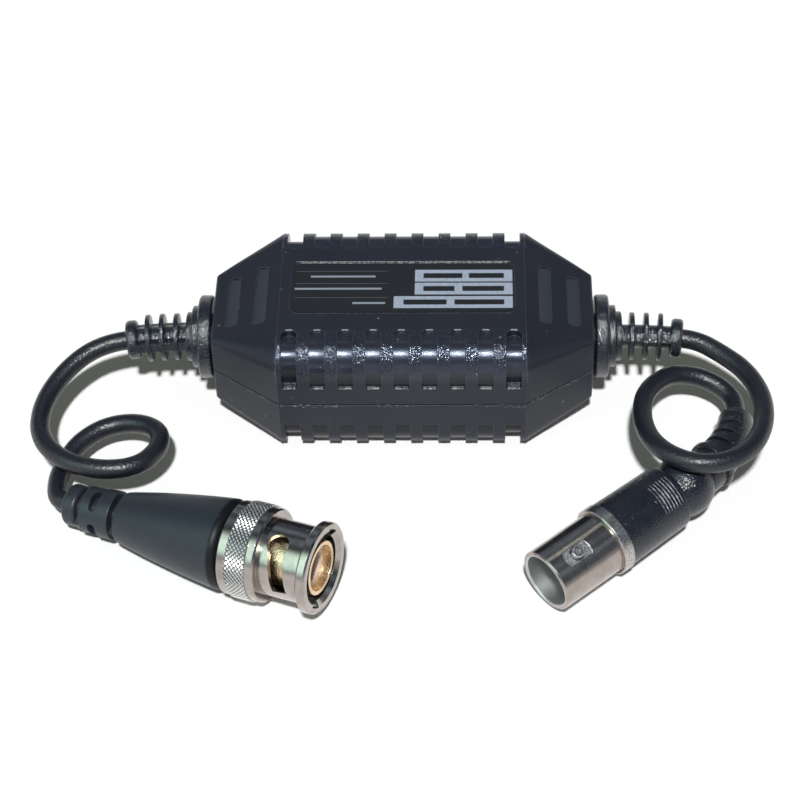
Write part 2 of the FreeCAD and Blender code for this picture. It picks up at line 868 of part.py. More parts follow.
def make_plug_pin():
    point = plug_pin_radius
    outline = [
        (plug_flange_start, 0),
        (plug_flange_start, plug_pin_root_radius),
        (plug_insulator_recess, plug_pin_root_radius),
        (plug_insulator_recess, plug_pin_radius),
        (plug_pin_end - point, plug_pin_radius),
        (plug_pin_end, plug_pin_radius / 3),
        (plug_pin_end, 0),
    ]
    return revolve_profile(outline)


def make_gasket():
    return ring(plug_flange_end, plug_flange_end + gasket_thickness, gasket_radius,
                gasket_seat_radius + insulator_clearance)


def make_thrust_washer():
    start = nut_cavity_start + washer_clearance
    return ring(start, start + thrust_washer_thickness, thrust_washer_radius, nut_neck_radius())


def make_spring_washer():
    """A dished washer behind the flange."""
    end = plug_flange_start
    t = spring_washer_thickness
    outer = plug_flange_radius
    inner = nut_neck_radius()
    outline = [
        (end - t, outer),
        (end, outer),
        (end, outer - spring_washer_seat),
        (end - spring_washer_dish, inner),
        (end - spring_washer_dish - t, inner),
    ]
    return revolve_profile(outline)


def make_snap_ring():
    end = snap_ring_start + snap_ring_thickness
    return ring(snap_ring_start, end, snap_ring_radius, plug_neck_radius)


def make_ferrule(start, stem, stem_end, length):
    """A crimp ferrule: past the stem it is closed down on to the cable."""
    inner = stem + cable_clearance
    outer = inner + ferrule_thickness
    grip = cable_radius + cable_clearance
    sign = 1 if length > 0 else -1
    bend = stem_end + sign * cable_clearance
    closed = bend + sign * ferrule_thickness
    outline = [
        (start, inner),
        (start, outer),
        (closed, outer),
        (start + length, grip + ferrule_thickness),
        (start + length, grip),
        (bend, inner),
    ]
    return revolve_profile(outline)


def boot_stations():
    """Places behind the nut: the boot's back face, the two rings and the collar, each as front and back."""
    back = boot_shoulder_place - boot_back_length
    first = (back - boot_gap, back - boot_gap - boot_first_ring_length)
    second = (first[1] - boot_oval_gap, first[1] - boot_oval_gap - boot_second_ring_length)
    collar = (second[1] - boot_gap, second[1] - boot_gap - boot_collar_length)
    return back, first, second, collar


def boot_end():
    return boot_stations()[3][1]


def make_boot():
    """The plug's boot: a bulged cone with a rounded front, two rings and a collar on a slim core."""
    back, first, second, collar = boot_stations()
    front = Vector(boot_front, 0, boot_front_radius)
    wide = Vector(boot_wide_place, 0, boot_wide_radius)
    middle = Vector(boot_middle_place, 0, boot_middle_radius)
    shoulder = Vector(boot_shoulder_place, 0, boot_shoulder_radius)
    behind = Vector(back, 0, boot_back_radius)
    rise = boot_wide_radius - boot_front_radius
    bulge = Vector(boot_front + 0.35 * (boot_wide_place - boot_front), 0, boot_wide_radius - 0.25 * rise)
    edges = [
        Part.makeLine(Vector(boot_front, 0, 0), front),
        Part.Arc(front, bulge, wide).toShape(),
        Part.Arc(wide, middle, shoulder).toShape(),
        Part.makeLine(shoulder, behind),
        Part.makeLine(behind, Vector(back, 0, 0)),
        Part.makeLine(Vector(back, 0, 0), Vector(boot_front, 0, 0)),
    ]
    cone = Part.Face(Part.Wire(edges)).revolve(origin, axis_x, 360)
    cone = round_circles(cone, boot_back_round, [(back, boot_back_radius)])
    first_ring = ring(first[1], first[0], boot_first_ring_radius, 0)
    first_ring = round_circles(first_ring, boot_ring_round, [(first[0], boot_first_ring_radius)])
    second_ring = ring(second[1], second[0], boot_second_ring_radius, 0)
    second_ring = round_circles(second_ring, boot_ring_round, [(second[1], boot_second_ring_radius)])
    end = ring(collar[1], collar[0], boot_collar_radius, 0)
    end = round_circles(end, boot_collar_round, [(collar[0], boot_collar_radius), (collar[1], boot_collar_radius)])
    core = ring(collar[0] - boot_collar_round, back + past, boot_core_radius, 0)
    between = ring(second[0], first[1], boot_second_ring_radius, 0)
    for i in range(4):
        between = between.cut(oval_window((first[1] + second[0]) / 2, boot_oval_angle + 90 * i))
    pieces = [cone, first_ring, second_ring, end, core, between]
    for low, high in ((first[0], back), (collar[0], second[1])):
        spine = Part.makeBox(high - low + 2 * boot_ring_round, 2 * boot_core_radius + boot_spine_width,
                             boot_spine_width)
        spine.translate(Vector(low - boot_ring_round, -boot_core_radius - boot_spine_width / 2, -boot_spine_width / 2))
        pieces.append(turned(spine, boot_spine_angle))
    body = fuse_all(pieces)
    # the room inside for the snap ring, the stem, the ferrule and the cable
    clear = cable_clearance
    room_end = snap_ring_start - snap_ring_thickness - clear
    ferrule_start = snap_ring_start - snap_ring_thickness - clear
    room = revolve_profile([
        (boot_front + past, 0),
        (boot_front + past, snap_ring_radius + clear),
        (room_end, snap_ring_radius + clear),
        (room_end, crimp_stem_radius + ferrule_thickness + 2 * clear),
        (ferrule_start - ferrule_length - clear, crimp_stem_radius + ferrule_thickness + 2 * clear),
        (ferrule_start - ferrule_length - clear, cable_radius + clear),
        (boot_end() - past, cable_radius + clear),
        (boot_end() - past, 0),
    ])
    return body.cut(room)


def oval_window(place, angle):
    """Cutter for one oval window between the boot's rings, down to the core."""
    half = (boot_oval_length - boot_oval_gap) / 2
    height = boot_first_ring_radius + past
    bar = Part.makeBox(boot_oval_gap, 2 * half, height, Vector(place - boot_oval_gap / 2, -half, 0))
    tips = [Part.makeCylinder(boot_oval_gap / 2, height, Vector(place, y, 0), axis_z) for y in (-half, half)]
    window = fuse_all([bar] + tips).cut(ring(place - boot_oval_gap, place + boot_oval_gap, boot_core_radius, 0))
    return turned(window, angle)


def make_plug_lead():
    start = plug_flange_start - insulator_clearance
    return ring(boot_end(), start, cable_radius, 0)


# Jack


def jack_frame():
    azimuth = math.radians(jack_azimuth)
    tilt = math.radians(jack_tilt)
    direction = Vector(math.cos(tilt) * math.cos(azimuth), math.cos(tilt) * math.sin(azimuth), math.sin(tilt))
    # the collar's front edge rests on the table, or the lower lug if that reaches lower
    turn = math.radians(lug_angle)
    tip = lug_diameter / 2 - barrel_edge / 2
    lug_height = lug_reach * abs(math.cos(turn)) * math.cos(tilt) - lug_place * math.sin(tilt)
    lug_height += tip * math.hypot(math.sin(turn) * math.cos(tilt), math.sin(tilt))
    height = max(collar_radius * math.cos(tilt) - barrel_length * math.sin(tilt), lug_height)
    return frame_matrix(Vector(jack_mouth_place[0], jack_mouth_place[1], height), direction)


def overmould_start():
    return barrel_length + collar_length


def overmould_end():
    return overmould_start() + overmould_length


def make_jack_body():
    """Barrel with its two bayonet lugs, collar and crimp stem."""
    stem_end = overmould_start() + jack_stem_length
    core = jack_insulator_radius + insulator_clearance
    outline = [
        (0, barrel_bore_radius + barrel_edge),
        (0, barrel_radius - barrel_edge),
        (barrel_edge, barrel_radius),
        (barrel_length, barrel_radius),
        (barrel_length, collar_radius - barrel_edge),
        (barrel_length + barrel_edge, collar_radius),
        (overmould_start(), collar_radius),
        (overmould_start(), jack_stem_radius),
        (stem_end, jack_stem_radius),
        (stem_end, core),
        (barrel_depth, core),
        (barrel_depth, barrel_bore_radius),
        (barrel_edge, barrel_bore_radius),
    ]
    body = revolve_profile(outline)
    flat_half = math.sqrt(barrel_radius ** 2 - (barrel_radius - lug_flat_depth) ** 2)
    flats = []
    lugs = []
    for angle in (lug_angle, lug_angle + 180):
        flat = box_between((lug_place - lug_flat_length / 2, -flat_half, barrel_radius - lug_flat_depth),
                           (lug_place + lug_flat_length / 2, flat_half, barrel_radius + past))
        flat = flat.common(Part.makeCylinder(lug_flat_length / 2, 2 * past,
                                             Vector(lug_place, 0, barrel_radius - lug_flat_depth), axis_z))
        flats.append(turned(flat, angle))
        foot = Vector(lug_place, 0, barrel_bore_radius)
        lug = Part.makeCylinder(lug_diameter / 2, lug_reach - barrel_bore_radius, foot, axis_z)
        top = edges_where(lug, lambda e: isinstance(e.Curve, Part.Circle) and e.Curve.Center.z > barrel_radius)
        lug = lug.makeChamfer(barrel_edge / 2, top)
        lugs.append(turned(lug, angle))
    body = body.cut(flats)
    body = fuse_all([body] + lugs)
    return body.cut(ring(barrel_edge, barrel_depth, barrel_bore_radius, 0))


def make_jack_insulator():
    inner = jack_contact_radius + insulator_clearance
    end = overmould_start() + jack_stem_length
    return ring(jack_insulator_start, end, jack_insulator_radius, inner)


def make_jack_contact():
    """The centre contact, with a socket for a mating pin."""
    end = overmould_start() + jack_stem_length
    body = ring(jack_contact_start, end, jack_contact_radius, 0)
    socket = Part.makeCylinder(jack_socket_radius, jack_socket_depth, Vector(jack_contact_start, 0, 0), axis_x)
    return body.cut(socket)


def tail_bend():
    """The bend of the jack's tail, in the jack's own frame: it leans down."""
    lean = math.radians(-tail_drop)
    return overmould_end() + tail_run, Vector(0, math.cos(lean), math.sin(lean)), tail_bend_radius


def tail_length():
    return math.radians(tail_turn) * tail_bend_radius


def make_jack_boot():
    """The overmould behind the collar, a rounded bulge, and the ribbed tail that the cable bends."""
    start = overmould_start()
    end = overmould_end()
    body = revolve_profile([
        (start, 0),
        (start, overmould_front_radius),
        (end, overmould_back_radius),
        (end, 0),
    ])
    body = round_circles(body, overmould_round, [(end, overmould_back_radius)])
    neck = Vector(end - past, 0, bulge_start_radius)
    first = Vector(end + bulge_start, 0, bulge_start_radius)
    top = Vector(end + bulge_reach, 0, bulge_radius)
    last = Vector(end + bulge_length, 0, bulge_end_radius)
    profile = [
        Part.makeLine(Vector(neck.x, 0, 0), neck),
        Part.makeLine(neck, first),
        Part.Arc(first, top, last).toShape(),
        Part.makeLine(last, Vector(last.x, 0, 0)),
        Part.makeLine(Vector(last.x, 0, 0), Vector(neck.x, 0, 0)),
    ]
    bulge = Part.Face(Part.Wire(profile)).revolve(origin, axis_x, 360)
    bend = tail_bend()
    flange = ring(-tail_ring_width / 2, tail_ring_width / 2, tail_ring_radius, 0)
    flange = flange.makeFillet(tail_ring_width / 4, edges_where(flange, lambda e: isinstance(e.Curve, Part.Circle)))
    flange = placed(flange, bend_place(bend, tail_ring_place))
    tail = bent_tube(bend, tail_length(), tail_radius, tail_end_radius)
    for distance in tail_windows:
        cutter = window_ring(tail_window_width, tail_radius + past, tail_core_radius, tail_spine_width, -tail_drop)
        tail = tail.cut(placed(cutter, bend_place(bend, distance)))
    body = fuse_all([body, bulge, tail, flange])
    cutters = []
    for i in range(grip_groove_count):
        place = end - grip_groove_last - i * grip_groove_pitch
        for angle in (grip_groove_angle, grip_groove_angle + 180):
            face = polygon_face([
                (place - grip_groove_width / 2, 0, overmould_back_radius - grip_groove_depth),
                (place + grip_groove_width / 2, 0, overmould_back_radius - grip_groove_depth),
                (place + grip_groove_width / 2, 0, overmould_front_radius + past),
                (place - grip_groove_width / 2, 0, overmould_front_radius + past),
            ])
            face.rotate(origin, axis_x, angle - grip_groove_arc / 2)
            cutters.append(face.revolve(origin, axis_x, grip_groove_arc))
    stem_end = start + jack_stem_length
    clear = cable_clearance
    ferrule_end = start + clear + ferrule_length
    cutters.append(ring(start - past, ferrule_end + clear, jack_stem_radius + ferrule_thickness + 2 * clear, 0))
    cutters.append(ring(stem_end, bend[0], cable_radius + clear, 0))
    cutters.append(bent_tube(bend, tail_length(), cable_radius + clear, cable_radius + clear))
    return body.cut(cutters)


def make_jack_lead():
    """The cable inside the jack's boot."""
    start = overmould_start() + jack_stem_length + insulator_clearance
    bend = tail_bend()
    straight = ring(start, bend[0], cable_radius, 0)
    return fuse_all([straight, bent_tube(bend, tail_length(), cable_radius, cable_radius)])


# Free cables


def cable_tube(points, name):
    """A tube of straight runs joined by arcs, each as large as its two runs allow."""
    edges = []
    previous = points[0]
    radii = []
    for before, corner, after in zip(points, points[1:], points[2:]):
        back = before - corner
        ahead = after - corner
        run = cable_run_share * min(back.Length, ahead.Length)
        back.normalize()
        ahead.normalize()
        turn = math.pi - back.getAngle(ahead)
        radius = run / math.tan(turn / 2)
        radii.append(radius)
        arc_start = corner + back * run
        arc_end = corner + ahead * run
        to_centre = (back + ahead).normalize()
        centre = corner + to_centre * math.hypot(run, radius)
        arc_middle = centre - to_centre * radius
        edges.append(Part.makeLine(previous, arc_start))
        edges.append(Part.Arc(arc_start, arc_middle, arc_end).toShape())
        previous = arc_end
    edges.append(Part.makeLine(previous, points[-1]))
    path = Part.Wire(edges)
    for place in (points[0], points[1], points[-2], points[-1]):
        print(name, "point", [round(c, 2) for c in place])
    direction = points[1] - points[0]
    circle = Part.Wire(Part.makeCircle(cable_radius, points[0], direction))
    tube = path.makePipeShell([circle], True, True)
    expected = math.pi * cable_radius ** 2 * path.Length
    print(name, "length", round(path.Length, 1), "volume share", round(tube.Volume / expected, 4))
    print(name, "radii", [round(r, 1) for r in radii])
    return tube


def make_left_cable():
    frame = plug_frame()
    tail = frame.multVec(Vector(boot_end(), 0, 0))
    before_tail = frame.multVec(Vector(boot_end() - left_tail_run, 0, 0))
    start, outwards = relief_end(-1)
    points = [start, start + outwards * left_exit_run] + [Vector(*p) for p in left_route] + [before_tail, tail]
    return cable_tube(points, "left cable")


def make_right_cable():
    end = bend_place(tail_bend(), tail_length())
    direction = end.Rotation.multVec(axis_x)
    frame = jack_frame()
    tail = frame.multVec(end.Base)
    before_tail = frame.multVec(end.Base + direction * right_tail_run)
    start, outwards = relief_end(1)
    points = [start, start + outwards * right_exit_run] + [Vector(*p) for p in right_route] + [before_tail, tail]
    return cable_tube(points, "right cable")


def export(name, shape):
    solids = shape.Solids
    if not shape.isValid() or not solids:
        print("CHECK", name, "valid", shape.isValid(), "solids", len(solids))
    result = solids[0] if len(solids) == 1 else Part.makeCompound(solids)
    result.exportStep("parts/" + name + ".step")
    print(name, len(solids), round(result.Volume, 1))


def main():
    os.makedirs("parts", exist_ok=True)
    upper, lower = make_shells()
    export("upper_shell", upper)
    export("lower_shell", lower)
    export("label", make_label())
    export("circuit_board", make_board())
    export("transformer_core", make_core())
    export("primary_winding", make_winding(90))
    export("secondary_winding", make_winding(270))
    export("left_capacitor", make_capacitor(-1))
    export("right_capacitor", make_capacitor(1))
    export("left_inner_lead", make_lead(-1))
    export("right_inner_lead", make_lead(1))
    export("left_strain_relief", make_relief(-1))
    export("right_strain_relief", make_relief(1))

    plug = plug_frame()
    stem_start = snap_ring_start - snap_ring_thickness
    export("coupling_nut", placed(make_nut(), plug))
    export("thrust_washer", placed(make_thrust_washer(), plug))
    export("spring_washer", placed(make_spring_washer(), plug))
    export("snap_ring", placed(make_snap_ring(), plug))
    export("plug_body", placed(make_plug_body(), plug))
    export("plug_gasket", placed(make_gasket(), plug))
    export("plug_insulator", placed(make_plug_insulator(), plug))
    export("plug_pin", placed(make_plug_pin(), plug))
    plug_ferrule = make_ferrule(stem_start - cable_clearance, crimp_stem_radius, stem_start - crimp_stem_length,
                                -ferrule_length)
    export("plug_ferrule", placed(plug_ferrule, plug))
    export("plug_boot", placed(make_boot(), plug))
    export("plug_inner_lead", placed(make_plug_lead(), plug))

    jack = jack_frame()
    export("jack_body", placed(make_jack_body(), jack))
    export("jack_insulator", placed(make_jack_insulator(), jack))
    export("jack_contact", placed(make_jack_contact(), jack))
    jack_ferrule = make_ferrule(overmould_start() + cable_clearance, jack_stem_radius,
                                overmould_start() + jack_stem_length, ferrule_length)
    export("jack_ferrule", placed(jack_ferrule, jack))
    export("jack_boot", placed(make_jack_boot(), jack))
    export("jack_inner_lead", placed(make_jack_lead(), jack))

    export("left_cable", make_left_cable())
    export("right_cable", make_right_cable())


main()
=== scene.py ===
import math

import bpy
from mathutils import Matrix


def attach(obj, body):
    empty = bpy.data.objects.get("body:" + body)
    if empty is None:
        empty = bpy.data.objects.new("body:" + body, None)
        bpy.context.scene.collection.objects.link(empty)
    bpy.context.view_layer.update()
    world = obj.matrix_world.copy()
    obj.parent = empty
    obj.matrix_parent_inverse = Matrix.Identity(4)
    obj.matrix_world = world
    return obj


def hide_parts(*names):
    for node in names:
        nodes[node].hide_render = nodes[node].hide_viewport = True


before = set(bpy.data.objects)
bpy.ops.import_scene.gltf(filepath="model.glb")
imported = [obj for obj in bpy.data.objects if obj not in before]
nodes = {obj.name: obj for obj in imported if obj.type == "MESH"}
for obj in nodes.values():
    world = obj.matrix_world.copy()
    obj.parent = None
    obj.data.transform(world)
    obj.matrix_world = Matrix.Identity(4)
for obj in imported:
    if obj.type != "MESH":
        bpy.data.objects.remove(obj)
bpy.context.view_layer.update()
print("frame loaded, nodes:", len(nodes))

mm = 0.001


def hexColour(text):
    # sRGB hex to the linear colour that Blender's sockets want
    channels = [int(text[i:i + 2], 16) / 255 for i in (1, 3, 5)]
    linear = [c / 12.92 if c <= 0.04045 else ((c + 0.055) / 1.055) ** 2.4 for c in channels]
    return (*linear, 1.0)


def deselectAll():
    if bpy.context.object and bpy.context.object.mode != "OBJECT":
        bpy.ops.object.mode_set(mode="OBJECT")
    bpy.ops.object.select_all(action="DESELECT")


def addNode(tree, kind, inputs=None, **settings):
    # an input is given a value or a hex colour, or is linked to a socket or to the output that a node has in use,
    # and one that is None stays as it is
    node = tree.nodes.new(kind)
    for name, value in settings.items():
        setattr(node, name, value)
    for key, value in (inputs or {}).items():
        if value is None:
            continue
        if isinstance(value, bpy.types.Node):
            value = next(socket for socket in value.outputs if socket.enabled)
        if isinstance(value, bpy.types.NodeSocket):
            tree.links.new(value, node.inputs[key])
        else:
            node.inputs[key].default_value = hexColour(value) if isinstance(value, str) else value
    return node


def newMaterial(name):
    material = bpy.data.materials.new(name)
    material.use_nodes = True
    tree = material.node_tree
    tree.nodes.clear()
    return material, tree


# camera, at the photograph's place and angle

camera = {
    "place": (0.01010, -0.25555, 0.26912),
    "yaw": 2.471,
    "pitch": 43.106,
    "roll": -1.847,
    "lens": 104.28,
    "sensor": 36,
    "clipStart": 0.01,
    "clipEnd": 20,
}
cameraData = bpy.data.cameras.new("camera")
cameraData.lens = camera["lens"]
cameraData.sensor_width = camera["sensor"]
cameraData.clip_start = camera["clipStart"]
cameraData.clip_end = camera["clipEnd"]
cameraObject = bpy.data.objects.new("camera", cameraData)
bpy.context.scene.collection.objects.link(cameraObject)
cameraObject.matrix_world = (
    Matrix.Translation(camera["place"])
    @ Matrix.Rotation(math.radians(camera["yaw"]), 4, "Z")
    @ Matrix.Rotation(math.radians(camera["pitch"]), 4, "X")
    @ Matrix.Rotation(math.radians(camera["roll"]), 4, "Z")
)
bpy.context.scene.camera = cameraObject
bpy.context.scene.view_settings.view_transform = "Standard"
print("camera placed")

# the two free cables, through the points of their routes in millimetres

cable = {
    "diameter": 3.0 * mm,
    "leftLength": 80.7 * mm,
    "rightLength": 84.6 * mm,
    "alongSteps": 16,  # between two points of the route
    "roundSteps": 8,
}
leftPoints = (
    (-43.48, -0.52, 10.18),
    (-45.86, -0.77, 10.02),
    (-50.0, -2.4, 9.2),
    (-53.9, -6.4, 7.9),
    (-56.2, -12.0, 6.9),
    (-55.7, -18.3, 6.9),
    (-51.5, -23.4, 7.4),
    (-45.4, -25.75, 7.8),
    (-39.7, -24.85, 7.7),
    (-36.85, -20.6, 7.1),
    (-37.3, -16.2, 6.3),
    (-41.1, -13.6, 5.4),
    (-46.0, -13.75, 4.7),
    (-49.8, -16.6, 4.3),
    (-51.5, -19.9, 3.9),
    (-52.45, -22.9, 3.6),
    (-52.5, -25.3, 3.6),
    (-52.2, -27.35, 3.7),
    (-51.08, -28.54, 3.89),
    (-49.88, -29.03, 4.02),
)
rightPoints = (
    (43.48, -0.61, 10.47),
    (45.67, -0.89, 10.45),
    (49.3, -3.2, 9.9),
    (52.8, -6.9, 10.0),
    (54.9, -12.2, 10.2),
    (54.9, -18.3, 10.8),
    (52.7, -24.1, 11.5),
    (48.6, -27.9, 12.3),
    (43.7, -28.7, 12.6),
    (39.6, -26.4, 12.25),
    (37.0, -22.1, 11.2),
    (36.3, -15.6, 9.6),
    (37.5, -9.7, 8.4),
    (41.2, -5.2, 7.2),
    (45.4, -4.4, 6.2),
    (48.9, -5.6, 5.4),
    (51.2, -7.9, 4.8),
    (51.51, -11.18, 4.95),
    (51.23, -13.33, 5.27),
)


def makeCable(name, points, replaced):
    curve = bpy.data.curves.new(name, "CURVE")
    curve.dimensions = "3D"
    spline = curve.splines.new("NURBS")
    spline.points.add(len(points) - 1)
    for point, place in zip(spline.points, points):
        point.co = (place[0] * mm, place[1] * mm, place[2] * mm, 1)
        point.radius = mm  # the box of a curve grows by this, so the bevel is given in millimetres
    spline.order_u = 3
    spline.use_endpoint_u = True
    spline.use_smooth = True
    curve.resolution_u = cable["alongSteps"]
    curve.bevel_depth = cable["diameter"] / 2 / mm
    curve.bevel_resolution = cable["roundSteps"]
    made = bpy.data.objects.new(name, curve)
    bpy.context.scene.collection.objects.link(made)
    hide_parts(replaced)
    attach(made, "base")
    return made


leftCable = makeCable("leftCable", leftPoints, "left_cable")
rightCable = makeCable("rightCable", rightPoints, "right_cable")
print("cables laid")

# floor, world and lamp

studio = {
    "floor": "#fbfbfc",
    "floorGlow": 0.03,  # lifts the floor to white for the camera
    "floorHalf": 4.0,
    "fill": "#e6f2d6",
    "fillStrength": 0.1,
    "keyStrength": 3.35,
    "keyAngle": 4.0,
    "keyLean": 29.0,  # off the vertical, towards the camera
    "ceilingDark": "#1b2126",  # what polished metal sees above, in broad soft patches
    "ceilingLight": "#94a4b4",
    "patchScale": 2.6,
    "patchLow": 0.42,
    "patchHigh": 0.62,
    "horizonLow": 0.06,  # height of the pale backdrop, as the sine of its elevation
    "horizonHigh": 0.30,
    "rightDim": 0.45,  # the backdrop on the right, which the housing's right end reflects, is darker
    "dimStart": 0.35,  # where the dimming starts and ends, as the x of the direction
    "dimEnd": 0.8,
    # soft panels that only reflections show: direction, inner and outer half angle, strength, colour
    "panels": (
        ((0.0, -0.485, 0.875), 5.0, 24.0, 1.4, "#dcfff2"),
        ((-0.63, -0.40, 0.66), 7.0, 33.0, 2.1, "#dcfff2"),
        ((-0.003, 0.548, 0.837), 1.0, 8.0, 1.4, "#fbfff8"),
    ),
}


def makeFloor():
    # matt white laminate, which shows the object's shadow and little else
    deselectAll()
    bpy.ops.mesh.primitive_plane_add(size=2 * studio["floorHalf"], location=(0, 0, 0))
    floor = bpy.context.object
    floor.name = "floor"
    material, tree = newMaterial("white table, matt laminate")
    path = addNode(tree, "ShaderNodeLightPath").outputs
    seen = addNode(tree, "ShaderNodeMath", {0: path["Is Camera Ray"], 1: path["Is Glossy Ray"]}, operation="MAXIMUM")
    glow = addNode(tree, "ShaderNodeMath", {0: seen, 1: studio["floorGlow"]}, operation="MULTIPLY")
    diffuse = addNode(tree, "ShaderNodeBsdfDiffuse", {"Color": studio["floor"]})
    light = addNode(tree, "ShaderNodeEmission", {"Strength": glow})
    both = addNode(tree, "ShaderNodeAddShader", {0: diffuse, 1: light})
    addNode(tree, "ShaderNodeOutputMaterial", {"Surface": both})
    floor.data.materials.append(material)


def makeWorld():
    # even fill light, with a pale backdrop, soft panels and a dark ceiling for polished surfaces to reflect
    world = bpy.data.worlds.new("soft room light")
    bpy.context.scene.world = world
    world.use_nodes = True
    tree = world.node_tree
    tree.nodes.clear()
    direction = addNode(tree, "ShaderNodeTexCoord").outputs["Generated"]
    sideways, _, height = addNode(tree, "ShaderNodeSeparateXYZ", {0: direction}).outputs
    path = addNode(tree, "ShaderNodeLightPath").outputs
    # the ceiling, in broad patches
    cloud = addNode(tree, "ShaderNodeTexNoise", {"Vector": direction, "Scale": studio["patchScale"], "Detail": 2.0})
    patch = addNode(tree, "ShaderNodeMapRange",
                    {"Value": cloud, "From Min": studio["patchLow"], "From Max": studio["patchHigh"]})
    shade = addNode(tree, "ShaderNodeMix", {0: patch, 6: studio["ceilingDark"], 7: studio["ceilingLight"]},
                    data_type="RGBA")
    room = addNode(tree, "ShaderNodeBackground", {"Color": shade, "Strength": 1.0})
    for towards, inner, outer, strength, colour in studio["panels"]:
        near = addNode(tree, "ShaderNodeVectorMath", {0: direction, 1: towards}, operation="DOT_PRODUCT")
        panel = addNode(tree, "ShaderNodeMapRange",
                        {"Value": near, "From Min": math.cos(math.radians(outer)),
                         "From Max": math.cos(math.radians(inner))}, interpolation_type="SMOOTHSTEP")
        soft = addNode(tree, "ShaderNodeBackground", {"Color": colour, "Strength": strength})
        room = addNode(tree, "ShaderNodeMixShader", {0: panel, 1: room, 2: soft})
    # the pale backdrop round the horizon
    backdrop = addNode(tree, "ShaderNodeMapRange",
                       {"Value": height, "From Min": studio["horizonHigh"], "From Max": studio["horizonLow"]},
                       interpolation_type="SMOOTHSTEP")
    dimming = addNode(tree, "ShaderNodeMapRange",
                      {"Value": sideways, "From Min": studio["dimStart"], "From Max": studio["dimEnd"],
                       "To Min": 1.0, "To Max": studio["rightDim"]})
    pale = addNode(tree, "ShaderNodeBackground", {"Color": "#ffffff", "Strength": dimming})
    room = addNode(tree, "ShaderNodeMixShader", {0: backdrop, 1: room, 2: pale})
    # reflections see the room, the camera sees white, and everything else gets the even fill
    fill = addNode(tree, "ShaderNodeBackground", {"Color": studio["fill"], "Strength": studio["fillStrength"]})
    mirrored = addNode(tree, "ShaderNodeMixShader", {0: path["Is Glossy Ray"], 1: fill, 2: room})
    seen = addNode(tree, "ShaderNodeMath", {0: path["Is Camera Ray"], 1: path["Is Transmission Ray"]},
                   operation="MAXIMUM")
    white = addNode(tree, "ShaderNodeBackground", {"Color": "#ffffff", "Strength": 1.0})
    final = addNode(tree, "ShaderNodeMixShader", {0: seen, 1: mirrored, 2: white})
    addNode(tree, "ShaderNodeOutputWorld", {"Surface": final})


def makeKey():
    lamp = bpy.data.lights.new("key", "SUN")
    lamp.energy = studio["keyStrength"]
    lamp.angle = math.radians(studio["keyAngle"])
    key = bpy.data.objects.new("key", lamp)
    bpy.context.scene.collection.objects.link(key)
    key.rotation_euler = (math.radians(studio["keyLean"]), 0, 0)


makeFloor()
makeWorld()
makeKey()
print("studio ready")

# where the two connectors lie: base point, azimuth and tilt of each axis

plugFrame = {"base": (-23.86 * mm, -39.76 * mm, 6.9798 * mm), "azimuth": -22.4, "tilt": 6.0}
jackFrame = {"base": (21.25 * mm, -44.95 * mm, 5.3358 * mm), "azimuth": 40.2, "tilt": 1.5}


def frameMatrix(place):
    return (
        Matrix.Translation(place["base"])
        @ Matrix.Rotation(math.radians(place["azimuth"]), 4, "Z")
        @ Matrix.Rotation(math.radians(-place["tilt"]), 4, "Y")
    )


# what the materials share: places, masks, patches and relief


def objectPlace(tree, place=None):
    # object coordinates, or the same turned into a connector's own frame
    coordinates = addNode(tree, "ShaderNodeTexCoord").outputs["Object"]
    if place is None:
        return coordinates
    rotation = (0, math.radians(-place["tilt"]), math.radians(place["azimuth"]))
    return addNode(tree, "ShaderNodeMapping",
                   {"Vector": coordinates, "Location": place["base"], "Rotation": rotation}, vector_type="TEXTURE")


def aroundAxis(tree, coordinates, angle):
    # along, aside and outwards in a connector's frame, turned about its axis from straight up to the camera
    x, y, z = addNode(tree, "ShaderNodeSeparateXYZ", {0: coordinates}).outputs
    cosine = math.cos(math.radians(angle))
    sine = math.sin(math.radians(angle))
    fromZ = addNode(tree, "ShaderNodeMath", {0: z, 1: sine}, operation="MULTIPLY")
    aside = addNode(tree, "ShaderNodeMath", {0: y, 1: cosine, 2: fromZ}, operation="MULTIPLY_ADD")
    fromY = addNode(tree, "ShaderNodeMath", {0: y, 1: -sine}, operation="MULTIPLY")
    outwards = addNode(tree, "ShaderNodeMath", {0: z, 1: cosine, 2: fromY}, operation="MULTIPLY_ADD")
    return x, aside, outwards


def distanceFrom(tree, first, second):
    # how far two coordinates lie from zero together
    square = addNode(tree, "ShaderNodeMath", {0: second, 1: second}, operation="MULTIPLY")
    both = addNode(tree, "ShaderNodeMath", {0: first, 1: first, 2: square}, operation="MULTIPLY_ADD")
    return addNode(tree, "ShaderNodeMath", {0: both}, operation="SQRT")


def allOf(tree, mask, *others):
    # 1 where every mask is 1, and a share among them weakens it
    for other in others:
        mask = addNode(tree, "ShaderNodeMath", {0: mask, 1: other}, operation="MULTIPLY")
    return mask


def anyOf(tree, mask, *others):
    for other in others:
        mask = addNode(tree, "ShaderNodeMath", {0: mask, 1: other}, operation="MAXIMUM")
    return mask


def boxMask(tree, first, second, box, soft):
    # 1 where the first coordinate is between the box's first two edges and the second between the others
    low, high, left, right = box
    sides = ((first, low - soft, low + soft), (first, high + soft, high - soft),
             (second, left - soft, left + soft), (second, right + soft, right - soft))
    return allOf(tree, *[addNode(tree, "ShaderNodeMapRange", {"Value": value, "From Min": start, "From Max": end})
                         for value, start, end in sides])


def patches(tree, place, size, detail, low, high, first=0.0, last=1.0, roughness=0.5):
    # noise with grains about size metres across: below low it gives first, above high it gives last
    noise = addNode(tree, "ShaderNodeTexNoise",
                    {"Vector": place, "Scale": 1 / size, "Detail": detail, "Roughness": roughness})
    return addNode(tree, "ShaderNodeMapRange",
                   {"Value": noise, "From Min": low, "From Max": high, "To Min": first, "To Max": last})


